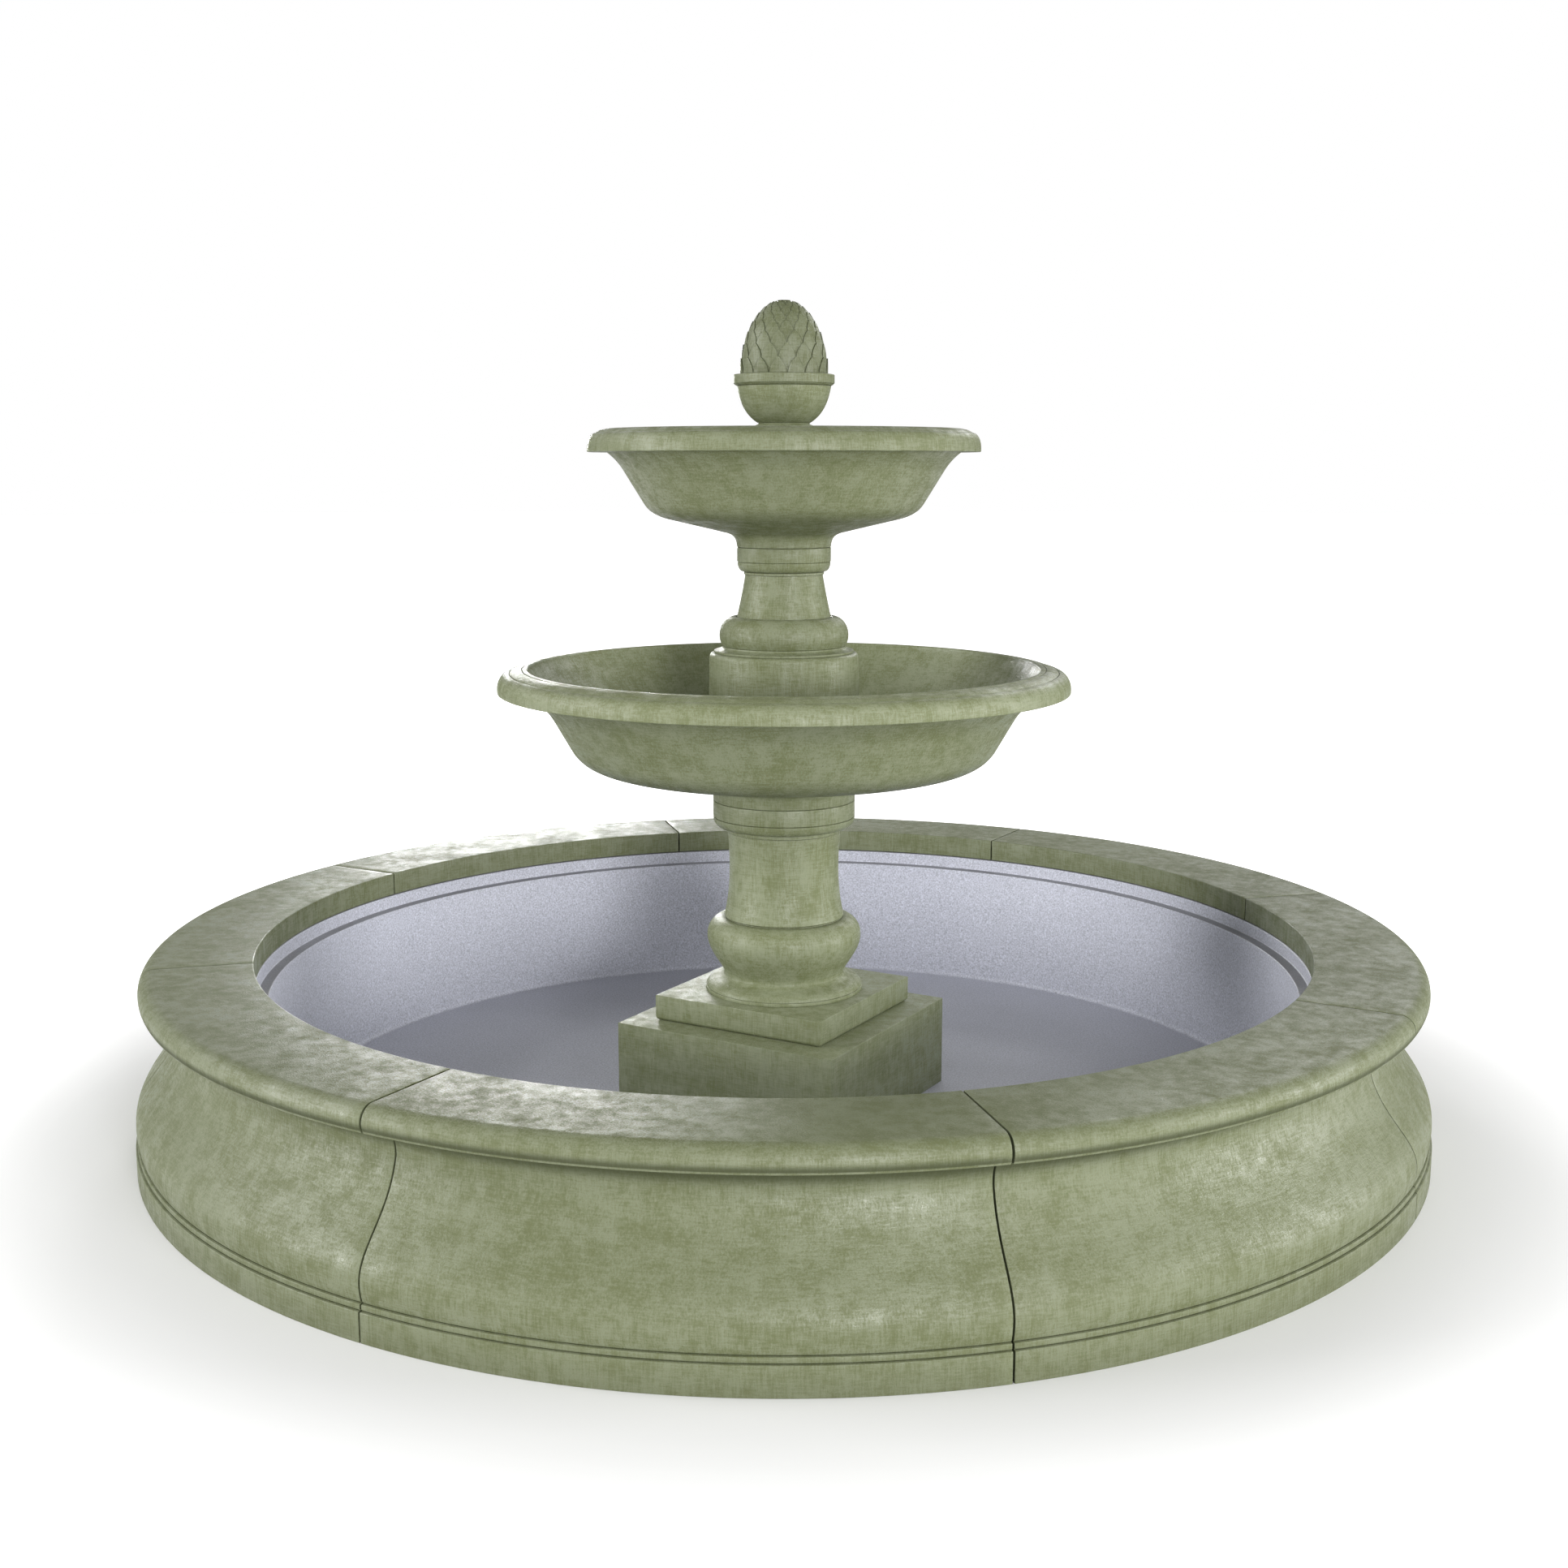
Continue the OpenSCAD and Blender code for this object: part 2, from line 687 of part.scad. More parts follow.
module drain_fitting() {
    color(white_plastic)
    at_drain(0)
    difference() {
        union() {
            cylinder(r = drain_tail_r + 6, h = pool_floor_z + 4);
            translate([0, 0, pool_floor_z + 1.5])
                ring([[0, 0], [44, 0], [44, 2], [38, 6], [0, 6]]);
        }
        translate([0, 0, -1]) cylinder(r = drain_tail_r, h = 30);
        translate([0, 0, 11]) cylinder(r = drain_seat_r, h = 20);
    }
}

module drain_gasket() {
    color(rubber_black) at_drain(pool_floor_z) tube(42, drain_tail_r + 6.1, 1.5);
}

module drain_plug() {
    color(rubber_black)
    at_drain(pool_floor_z + 7.5)
        ring(concat(
            [[0, -7.5], [drain_seat_r - 1.5, -7.5], [drain_seat_r - 0.3, 0], [30, 0], [30, 4], [10, 7]],
            [[7, 12], [7, 16]],
            arc([9, 20], 5, 5, -60, 90, 6),
            [[0, 25]]));
}

coping_stone(0);  // coping_stone_1
coping_stone(1);  // coping_stone_2
coping_stone(2);  // coping_stone_3
coping_stone(3);  // coping_stone_4
coping_stone(4);  // coping_stone_5
coping_stone(5);  // coping_stone_6
coping_stone(6);  // coping_stone_7
coping_stone(7);  // coping_stone_8
wall_segment(0);  // wall_segment_1
wall_segment(1);  // wall_segment_2
wall_segment(2);  // wall_segment_3
wall_segment(3);  // wall_segment_4
wall_segment(4);  // wall_segment_5
wall_segment(5);  // wall_segment_6
wall_segment(6);  // wall_segment_7
wall_segment(7);  // wall_segment_8
segment_straps();
strap_bolts();
floor_mat();
pool_liner();
plinth();
pump_door();
door_pull();
plinth_slab();
lower_pedestal();
lower_bowl();
pedestal_drum();
upper_pedestal();
upper_bowl();
finial_block();
finial();
outlet_nozzle();
riser_pipe_lower();
riser_pipe_upper();
pipe_coupling();
lower_bowl_seal();
upper_bowl_seal();
setting_pads();
pump_housing();
pump_volute();
pump_strainer();
impeller();
pump_rotor();
pump_shaft();
pump_bushes();
pump_seal_ring();
pump_feet();
cable_gland();
valve_body();
valve_ball();
valve_handle();
valve_collars();
drain_fitting();
drain_gasket();
drain_plug();
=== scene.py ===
"""Finished surfaces of a two-tier cast-stone garden fountain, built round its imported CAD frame.

Everything is in metres, +Z up, with the origin at ground level on the fountain's axis.
Outlines of turned stones are drawn in millimetres, as (radius, height) pairs, because a mason would.
"""

import json
import math

import bmesh
import bpy
from mathutils import Matrix, Vector


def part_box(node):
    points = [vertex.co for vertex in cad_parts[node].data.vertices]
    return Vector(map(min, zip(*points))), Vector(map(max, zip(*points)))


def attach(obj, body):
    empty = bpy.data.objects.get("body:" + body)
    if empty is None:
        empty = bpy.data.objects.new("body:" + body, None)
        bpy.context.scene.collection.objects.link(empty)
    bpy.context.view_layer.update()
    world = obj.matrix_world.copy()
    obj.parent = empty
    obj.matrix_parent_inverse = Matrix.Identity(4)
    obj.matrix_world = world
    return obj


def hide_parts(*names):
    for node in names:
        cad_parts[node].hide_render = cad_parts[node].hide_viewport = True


bl_info = {
    "name": "Tiered Garden Fountain",
    "version": (1, 0, 0),
    "blender": (4, 5, 0),
    "location": "3D View > Sidebar > Fountain",
    "description": "Builds the stone, liner and water works of a tiered garden fountain",
    "category": "Add Mesh",
}

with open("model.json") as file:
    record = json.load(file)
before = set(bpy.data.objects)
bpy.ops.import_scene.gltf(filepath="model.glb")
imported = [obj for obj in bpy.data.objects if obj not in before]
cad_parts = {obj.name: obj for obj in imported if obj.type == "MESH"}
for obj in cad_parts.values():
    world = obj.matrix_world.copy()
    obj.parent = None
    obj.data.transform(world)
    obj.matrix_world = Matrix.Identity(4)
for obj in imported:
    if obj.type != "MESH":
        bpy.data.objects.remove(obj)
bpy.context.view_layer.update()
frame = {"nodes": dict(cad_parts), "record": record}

MM = 0.001
TAU = 2 * math.pi
BODY = "fountain"
SEGMENTS = 8
PITCH = TAU / SEGMENTS
ROUND_STEPS = 256
STONE_STEPS = 44
CREASE = math.radians(32)
AIM_HEIGHT = 0.5
FINISH_NAME = "fountain_"
# Inner corners of an outline that bend more than this get painted shade, held within this many millimetres of
# the corner by guard points.
SHADED_CORNER_BEND = math.radians(38)
SHADED_CORNER_REACH = 1.9
# Strength of the painted shade under the coping's nose, on the coping's underside and on the wall's neck.
UNDER_SHADE = 0.75
# Height in metres up to which painted shade darkens the stone towards the ground.
GROUND_SHADE_HEIGHT = 0.085
FLOOR_FADE = (1.45, 2.75)


def low_mm(node):
    """Height of a CAD node's underside, in millimetres."""
    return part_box(node)[0].z / MM


def high_mm(node):
    """Height of a CAD node's top, in millimetres."""
    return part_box(node)[1].z / MM


def radius_mm(node):
    """Largest radius of a CAD node that is round about the fountain's axis, in millimetres."""
    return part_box(node)[1].x / MM


# ---------- user settings ----------


def colour(name, description, default):
    """A colour setting."""
    return bpy.props.FloatVectorProperty(
        name=name, description=description, subtype="COLOR", size=3, min=0, max=1, default=default
    )


def length(name, description, default):
    """A length setting in metres."""
    return bpy.props.FloatProperty(
        name=name, description=description, default=default, min=0, unit="LENGTH", subtype="DISTANCE"
    )


def amount(name, description, default, top=1.0):
    """A plain number setting."""
    return bpy.props.FloatProperty(name=name, description=description, default=default, min=0, max=top)


class FountainFinish(bpy.types.PropertyGroup):
    """Colours and textures of the fountain's materials."""

    olive: colour("Olive ground", "Deeper colour of the stone's mottle", (0.135, 0.151, 0.070))
    pale: colour("Pale bloom", "Lighter colour of the stone's mottle", (0.214, 0.235, 0.149))
    # The pit colour also colours all the painted shade on the stone.
    pit_and_shade: colour("Pits", "Colour of small holes and dark specks in the stone", (0.057, 0.065, 0.030))
    patch_scale: amount("Mottle scale", "Dabs of mottle per metre", 30.0, 200)
    # Strength of the painted shade on the stone near the ground.
    ground_shade: amount("Damp", "Darkening of the stone where it meets the ground", 0.30)
    stone_roughness: amount("Stone roughness", "Roughness of the sealed stone", 0.47)
    liner: colour("Liner", "Colour of the moulded pool liner", (0.460, 0.470, 0.538))
    brass: colour("Brass", "Colour of the nozzle and door pull", (0.640, 0.430, 0.170))
    steel: colour("Steel", "Colour of straps, bolts and the valve ball", (0.560, 0.565, 0.570))
    pipe: colour("Pipe", "Colour of the plastic pipes and drain", (0.740, 0.745, 0.730))
    rubber: colour("Rubber", "Colour of seals, pads and the plug", (0.022, 0.022, 0.023))


class FountainSizes(bpy.types.PropertyGroup):
    """Sizes that the finished stones add to the CAD frame."""

    coping_inner: length("Coping bore", "Radius of the coping's inner face", 1.25)
    joint: length("Joint", "Width of the open joint between stones", 0.004)
    arris: length("Arris", "Rounding of the stones' cut edges", 0.0016)
    scale_step: length("Scale step", "How far the finial's scales stand proud at their tips", 0.0026)


class FountainStage(bpy.types.PropertyGroup):
    """Camera, floor and studio light."""

    lens: length("Lens", "Focal length in metres", 0.04312)
    distance: length("Distance", "Distance of the camera from the fountain's axis", 4.47225)
    height: length("Height", "Height of the camera above the ground", 1.55325)
    turn: bpy.props.FloatProperty(
        name="Turn", description="Turn of the camera about the fountain",
        subtype="ANGLE", default=math.radians(30),
    )
    dip: bpy.props.FloatProperty(
        name="Dip", description="How far the camera looks down", subtype="ANGLE", default=0.168
    )
    sky_band: amount("Band", "Brightness of the bright band above eye level", 1.0, 10)
    sky_base: amount("Room", "Brightness of the rest of the room", 0.06, 10)


# ---------- outlines ----------


def curve(a, b, c, d, steps):
    """Points of a cubic curve from a to d, drawn towards b and c."""
    points = []
    for i in range(steps + 1):
        t = i / steps
        s = 1 - t
        weights = (s * s * s, 3 * s * s * t, 3 * s * t * t, t * t * t)
        points.append(tuple(sum(w * p[k] for w, p in zip(weights, (a, b, c, d))) for k in (0, 1)))
    return points


def arc(centre, across, up, start, end, steps):
    """Points of an elliptical arc, with its angles in degrees."""
    angles = [math.radians(start + (end - start) * i / steps) for i in range(steps + 1)]
    return [(centre[0] + across * math.cos(a), centre[1] + up * math.sin(a)) for a in angles]


def outline(*parts):
    """One outline from single points and runs of points, without repeats."""
    points = []
    for part in parts:
        for point in [part] if isinstance(part, tuple) else part:
            if not points or math.dist(point, points[-1]) > 0.02:
                points.append(point)
    return points


def coping_outline(inner):
    """Flat seat, an underside that slopes up to the bullnose, and an eased edge inside."""
    outer, bottom, top = radius_mm("coping_stone_1"), low_mm("coping_stone_1"), high_mm("coping_stone_1")
    nose = 32.5
    return outline(
        arc((inner + 2, bottom + 2), 2, 2, 270, 180, 3),
        arc((inner + 3.5, top - 3.5), 3.5, 3.5, 180, 90, 5),
        arc((outer - nose, top - nose), nose, nose, 90, -34, 20),
        (outer - 50.5, bottom),
    )


def wall_outline():
    """Straight foot, a band between two cut lines, then the ogee from belly to neck."""
    foot, top = radius_mm("wall_segment_1"), low_mm("coping_stone_1")
    inner, foot_h, belly, neck = foot - 192, 63, foot - 3.2, foot - 111.4
    return outline(
        (inner, 0),
        arc((foot - 2, 2), 2, 2, 270, 360, 3),
        arc((foot - 2, foot_h - 5), 2, 2, 0, 80, 4),
        (foot - 7, foot_h - 2.6),
        (foot - 7, foot_h - 1.2),
        arc((foot - 5.9, foot_h + 0.5), 1.4, 1.4, -80, 0, 3),
        arc((foot - 6.1, foot_h + 8.2), 1.6, 1.6, 0, 80, 4),
        (foot - 11, foot_h + 10.4),
        (foot - 11, foot_h + 12),
        (foot - 9, foot_h + 12.6),
        curve(
            (foot - 8.5, foot_h + 13), (belly - 3, foot_h + 20),
            (belly, foot_h + 33), (belly, foot_h + 49), 10,
        ),
        curve(
            (belly, foot_h + 49), (belly, foot_h + 115),
            (neck + 22, foot_h + 150), (neck, foot_h + 256), 34,
        ),
        curve((neck, foot_h + 256), (neck, top - 18), (neck + 17, top - 11), (neck + 39.4, top), 20),
        (inner + 26, top),
        (inner + 26, top - 8),
        (inner, top - 8),
    )


def liner_outline(inner):
    """Moulded tub: floor, sloping side, narrow ledge, upright band and the flange under the coping."""
    thick, floor, side, floor_r = 6, 12, 1222, 1206
    ledge, flange = 342, low_mm("coping_stone_1") - 2
    wall = radius_mm("pool_liner")
    return outline(
        (0, floor - thick),
        arc((floor_r, floor + 8), 14, 14, -90, 0, 5),
        (side + thick, ledge - thick),
        (inner + thick, ledge - thick),
        (inner + thick, flange - thick),
        (wall, flange - thick),
        (wall, flange),
        arc((inner + 5, flange - 5), 5, 5, 90, 180, 5),
        arc((inner - 2.5, ledge + 2.5), 2.5, 2.5, 0, -90, 4),
        arc((side + 3, ledge - 3), 3, 3, 90, 180, 4),
        arc((floor_r - 4, floor + 12), 12, 12, 0, -90, 8),
        (0, floor),
    )


def lower_pedestal_outline():
    """Ring, torus foot, vase, swept shaft and collar."""
    z, top, core = low_mm("lower_pedestal"), high_mm("lower_pedestal"), 40
    collar = 171
    return outline(
        (core, z),
        arc((190.4, z + 1.6), 1.6, 1.6, 270, 360, 3),
        arc((190.4, z + 7), 1.6, 1.6, 0, 90, 3),
        (189.4, z + 8.8),
        (190, z + 9.6),
        curve((190, z + 9.6), (187, z + 27), (160, z + 26), (147, z + 38), 16),
        curve((147, z + 38), (138, z + 50), (187, z + 92), (187, z + 132), 22),
        arc((147, z + 136), 40, 42, 0, 90, 20),
        (143, z + 178),
        (142, z + 180.5),
        arc((144, z + 183), 1, 1, -60, 60, 2),
        curve((145, z + 183.5), (129, z + 253), (130, z + 318), (137, z + 392), 30),
        (141, z + 392),
        arc((140, z + 393), 1, 1, -90, 0, 2),
        (141, z + 401),
        (150, z + 402.5),
        arc((151, z + 426), 20, 23.5, -90, 0, 12),
        (169, z + 427),
        arc((collar - 1.5, z + 429.5), 1.5, 1.5, -90, 0, 3),
        arc((collar - 1.2, top - 1.2), 1.2, 1.2, 0, 90, 3),
        (core, top),
    )


def rim_outline(r, z, h, k):
    """Rim of a bowl: quarter round, fine step, sloping band, second step and inner edge."""
    return outline(
        arc((r - 2.5, z + 2.5), 2.5, 2.5, 270, 360, 4),
        (r, z + 8),
        arc((r - 18 * k, z + 8), 18 * k, h - 18, 0, 84, 18),
        (r - 18 * k, z + h - 9.4),
        (r - 19.4 * k, z + h - 10.6),
        (r - 20.4 * k, z + h - 9.2),
        curve(
            (r - 21 * k, z + h - 8.6), (r - 26 * k, z + h - 4.6),
            (r - 32 * k, z + h - 2), (r - 38 * k, z + h - 1.5), 10,
        ),
        (r - 39 * k, z + h - 3),
        (r - 40.4 * k, z + h - 0.8),
        (r - 45 * k, z + h),
        arc((r - 45 * k, z + h - 6), 6, 6, 90, 180, 7),
    )


def lower_bowl_outline():
    """Stem, flat dish, steep side and rim, then the inside down to the floor."""
    r, s, bore, collar = radius_mm("lower_bowl"), low_mm("lower_bowl"), 25, 171
    z, f = s + 267, s + 92
    return outline(
        (bore, s),
        arc((collar - 1.2, s + 1.2), 1.2, 1.2, 270, 360, 3),
        (collar, z - 250),
        curve((collar, z - 250), (collar + 1, z - 236), (collar + 8, z - 230), (200, z - 227), 12),
        (400, z - 194.5),
        curve((400, z - 194.5), (450, z - 186), (484, z - 176), (507, z - 140), 22),
        (550, z - 65),
        curve((550, z - 65), (562, z - 44), (588, z - 14), (613, z), 14),
        rim_outline(r, z, 55, 1.5),
        curve((r - 73.5, z + 49), (535, z - 60), (480, f), (335, f), 36),
        (bore, f),
    )


def drum_outline():
    """Drum that stands on the lower bowl's floor, with a rounded shoulder."""
    bottom, top, r, core, bore = low_mm("pedestal_drum"), high_mm("pedestal_drum"), 178, 138, 25
    return outline(
        (core, bottom),
        (r + 3, bottom),
        curve((r + 3, bottom), (r + 3, bottom + 150), (r, bottom + 180), (r, top - 12), 12),
        arc((r - 11, top - 12), 11, 12, 0, 90, 10),
        (bore, top),
        (bore, top - 40),
        (core, top - 40),
    )


def upper_pedestal_outline():
    """Ring with a hollow above it, torus, shaft in its groove and collar."""
    z, top, core, collar = low_mm("upper_pedestal"), high_mm("upper_pedestal"), 40, 111
    return outline(
        (core, z),
        arc((164.4, z + 1.6), 1.6, 1.6, 270, 360, 3),
        (166, z + 5),
        curve((166, z + 5), (158, z + 7), (152, z + 8), (148, z + 12), 8),
        (147.6, z + 13.4),
        arc((118, z + 40), 35.7, 40, -38, 0, 8),
        arc((118, z + 40), 35.7, 45, 0, 80, 18),
        (120, z + 85),
        arc((117, z + 83), 2, 2, 60, 160, 3),
        (113, z + 80),
        (111.5, z + 84),
        curve((111.5, z + 84), (104, z + 120), (97, z + 150), (92, z + 185), 18),
        (95, z + 185),
        (95, z + 191),
        (97, z + 192),
        arc((98, z + 213), 12, 21, -85, 0, 12),
        (109, z + 214),
        arc((collar - 1.3, z + 216), 1.3, 1.3, -90, 0, 3),
        arc((collar - 1.2, top - 1.2), 1.2, 1.2, 0, 90, 3),
        (core, top),
    )


def upper_bowl_outline():
    """The smaller bowl, on the lower one's pattern."""
    r, s, bore, collar = radius_mm("upper_bowl"), low_mm("upper_bowl"), 25, 111
    z, f = s + 220, s + 88
    return outline(
        (bore, s),
        arc((collar - 1.2, s + 1.2), 1.2, 1.2, 270, 360, 3),
        curve((collar, s + 1.2), (collar + 2, z - 200), (118, z - 192), (138, z - 186.5), 14),
        (268, z - 156),
        curve((268, z - 156), (300, z - 149), (317, z - 138), (329, z - 119), 18),
        (375, z - 44),
        curve((375, z - 44), (384, z - 29), (396, z - 14), (415, z), 12),
        rim_outline(r, z, 53, 1),
        curve((r - 51, z + 47), (356, z - 45), (322, f), (225, f), 30),
        (bore, f),
    )


def finial_block_outline():
    """Short post that lifts the finial to the upper bowl's rim."""
    bottom, top, r, core, bore = low_mm("finial_block"), high_mm("finial_block"), 86, 40, 25
    return outline(
        (core, bottom),
        (r + 2, bottom),
        (r, top - 10),
        arc((r - 9, top - 10), 9, 10, 0, 90, 10),
        (bore, top),
        (bore, top - 30),
        (core, top - 30),
    )


def cone_radius(z):
    """Radius of the finial's cone at a height, both in millimetres."""
    base, top = CONE_Z - 7, CONE_RISE
    return CONE_R * math.sqrt(max(0.0, 1 - ((z - base) / top) ** 2))


FINIAL_TOP = high_mm("finial")
CONE_Z = low_mm("finial") + 126
CONE_R = 103
CONE_RISE = FINIAL_TOP - CONE_Z + 9


def finial_outline(sink):
    """Foot, cup, collar and the cone under the scales, which is sunk by a little."""
    z, collar = low_mm("finial"), radius_mm("finial")
    collar_z, tip, nozzle = CONE_Z - 21, 15.4, 9.5
    cone = [(cone_radius(h) - sink, h - sink) for h in spaced(CONE_Z, FINIAL_TOP, 30)]
    return outline(
        (25, z),
        arc((71, z + 1), 1, 1, 270, 360, 3),
        (72, z + 4),
        (66, z + 10.5),
        curve((66, z + 10.5), (61, z + 11.5), (60, z + 12.5), (60, z + 14.5), 6),
        curve((60, z + 14.5), (90, z + 32), (104, z + 62), (110, z + 100), 26),
        (collar - 3.4, collar_z - 2.4),
        arc((collar - 2.4, collar_z + 1.8), 2.4, 2.4, -80, 0, 4),
        arc((collar - 2.8, CONE_Z - 2.8), 2.8, 2.8, 0, 90, 5),
        cone,
        (tip, FINIAL_TOP),
        (nozzle, FINIAL_TOP),
        (nozzle, FINIAL_TOP - 47),
        (25, FINIAL_TOP - 47),
    )


def spaced(start, end, steps):
    """Values from start to end that crowd towards the end, for a curve that closes in."""
    return [start + (end - start) * math.sin(math.pi / 2 * i / steps) for i in range(steps + 1)]


# ---------- solids ----------


def new_object(name, bm, crease=CREASE):
    """A mesh object from a bmesh, smooth but for its creases."""
    mesh = bpy.data.meshes.new(name)
    bm.to_mesh(mesh)
    bm.free()
    mesh.shade_smooth()
    mesh.set_sharp_from_angle(angle=crease)
    made = bpy.data.objects.new(name, mesh)
    bpy.context.scene.collection.objects.link(made)
    return made


def with_shaded_corners(points):
    """An outline with guard points beside each sharp inner corner, and the corners that get painted shade."""
    loop = [Vector(point) for point in points]
    area = sum(a.x * b.y - b.x * a.y for a, b in zip(loop, loop[1:] + loop[:1]))
    guarded, corners = [], []
    for before, here, after in zip(loop[-1:] + loop[:-1], loop, loop[1:] + loop[:1]):
        a, b = here - before, after - here
        turn = math.copysign(1, area) * math.atan2(a.x * b.y - a.y * b.x, a.dot(b))
        if turn > -SHADED_CORNER_BEND:
            guarded.append(here)
            continue
        reach_a, reach_b = min(SHADED_CORNER_REACH, a.length * 0.45), min(SHADED_CORNER_REACH, b.length * 0.45)
        guarded += [here - a.normalized() * reach_a, here, here + b.normalized() * reach_b]
        corners.append(here)
    return [tuple(point) for point in guarded], corners


def paint_shade(bm, corners, under_shade=None):
    """Paints shade into a layer: full in the given inner corners, and fading in over a range of heights, as
    shade under the coping's nose.
    """
    crevice = bm.verts.layers.float.get("crevice") or bm.verts.layers.float.new("crevice")
    for vert in bm.verts:
        place_mm = Vector((vert.co.xy.length, vert.co.z)) / MM
        if any((place_mm - corner).length < 0.2 for corner in corners):
            vert[crevice] = 1.0
        elif under_shade:
            share = (place_mm.y - under_shade[0]) / (under_shade[1] - under_shade[0])
            if 0 < share <= 1:
                vert[crevice] = max(vert[crevice], share * UNDER_SHADE)
    return crevice


def outline_loop(bm, points, angle=0.0):
    """Vertices of an outline, standing in the plane at an angle about the axis."""
    turn = Matrix.Rotation(angle, 3, "Z")
    return [bm.verts.new(turn @ Vector((r * MM, 0, z * MM))) for r, z in points]


def turned(name, points, steps=ROUND_STEPS):
    """A closed solid of revolution. An outline that starts and ends on the axis is closed by its poles."""
    bm = bmesh.new()
    points, corners = with_shaded_corners(points)
    verts = outline_loop(bm, points)
    pairs = list(zip(verts, verts[1:]))
    if points[0][0] > 0:
        pairs.append((verts[-1], verts[0]))
    edges = [bm.edges.new(pair) for pair in pairs]
    bmesh.ops.spin(
        bm, geom=verts + edges, cent=(0, 0, 0), axis=(0, 0, 1), angle=TAU, steps=steps, use_merge=True
    )
    bmesh.ops.remove_doubles(bm, verts=bm.verts, dist=1e-6)
    bmesh.ops.recalc_face_normals(bm, faces=bm.faces)
    # Painted shade in the outline's sharp inner corners.
    paint_shade(bm, corners)
    return new_object(name, bm)


def ring_stone(name, points, number, joint, arris, under_shade):
    """One stone of the pool's ring, with its cut ends eased, painted shade on its cut ends inside the open
    joints, and painted shade under the coping's nose over a range of heights.
    """
    points, corners = with_shaded_corners(points)
    middle = sum(r for r, z in points) / len(points) * MM
    gap = joint / middle
    start, end = number * PITCH + gap / 2, (number + 1) * PITCH - gap / 2
    bm = bmesh.new()
    verts = outline_loop(bm, points, start)
    face = bm.faces.new(verts)
    bmesh.ops.spin(
        bm, geom=[face], cent=(0, 0, 0), axis=(0, 0, 1), angle=end - start, steps=STONE_STEPS, use_merge=False
    )
    close_ends(bm)
    bmesh.ops.recalc_face_normals(bm, faces=bm.faces)
    caps = [f for f in bm.faces if len(f.verts) > 4]
    rims = list({edge for cap in caps for edge in cap.edges})
    bmesh.ops.bevel(
        bm, geom=rims, offset=arris, offset_type="OFFSET", affect="EDGES", segments=2, profile=0.5,
        material=-1, clamp_overlap=True,
    )
    crevice = paint_shade(bm, corners, under_shade)
    # Painted shade on the cut ends, which show only inside the open joints.
    for cap in [f for f in bm.faces if len(f.verts) > 8]:
        for vert in cap.verts:
            vert[crevice] = 1.0
    return new_object(name, bm)


def close_ends(bm):
    """Caps any open loop of edges."""
    bmesh.ops.remove_doubles(bm, verts=bm.verts, dist=1e-7)
    open_edges = [edge for edge in bm.edges if edge.is_boundary]
    if open_edges:
        bmesh.ops.holes_fill(bm, edges=open_edges, sides=0)


def eased_copy(name, node, arris, segments=3):
    """A copy of a CAD node's flat-sided solid with its loose triangles merged and its edges rounded."""
    bm = bmesh.new()
    bm.from_mesh(frame["nodes"][node].data)
    bmesh.ops.remove_doubles(bm, verts=bm.verts, dist=1e-5)
    bmesh.ops.dissolve_limit(bm, angle_limit=math.radians(1), verts=bm.verts, edges=bm.edges)
    sharp = [e for e in bm.edges if len(e.link_faces) == 2 and e.calc_face_angle(0) > math.radians(60)]
    bmesh.ops.bevel(
        bm, geom=sharp, offset=arris, offset_type="OFFSET", affect="EDGES", segments=segments, profile=0.5,
        material=-1, clamp_overlap=True,
    )
    return new_object(name, bm)


def place(piece, material, slot, *nodes, batch=0.0, tone=0.0, body=BODY):
    """Gives a piece its finish, its batch, its tone (painted light above zero, painted shade below zero) and
    its body, and lets it stand for its CAD nodes.
    """
    piece.data.materials.clear()
    piece.data.materials.append(material)
    for name, value in (("batch", batch), ("tone", tone)):
        own = piece.data.attributes.new(name, "FLOAT", "POINT")
        own.data.foreach_set("value", [value] * len(piece.data.vertices))
    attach(piece, body)
    if nodes:
        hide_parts(*nodes)
    return piece


def tone_below(piece, height, value):
    """Gives the part of a piece that is below a height its own tone, which paints light above zero and shade
    below zero.
    """
    tone = piece.data.attributes["tone"].data
    for vert in piece.data.vertices:
        if vert.co.z < height:
            tone[vert.index].value = value


# ---------- shader building ----------


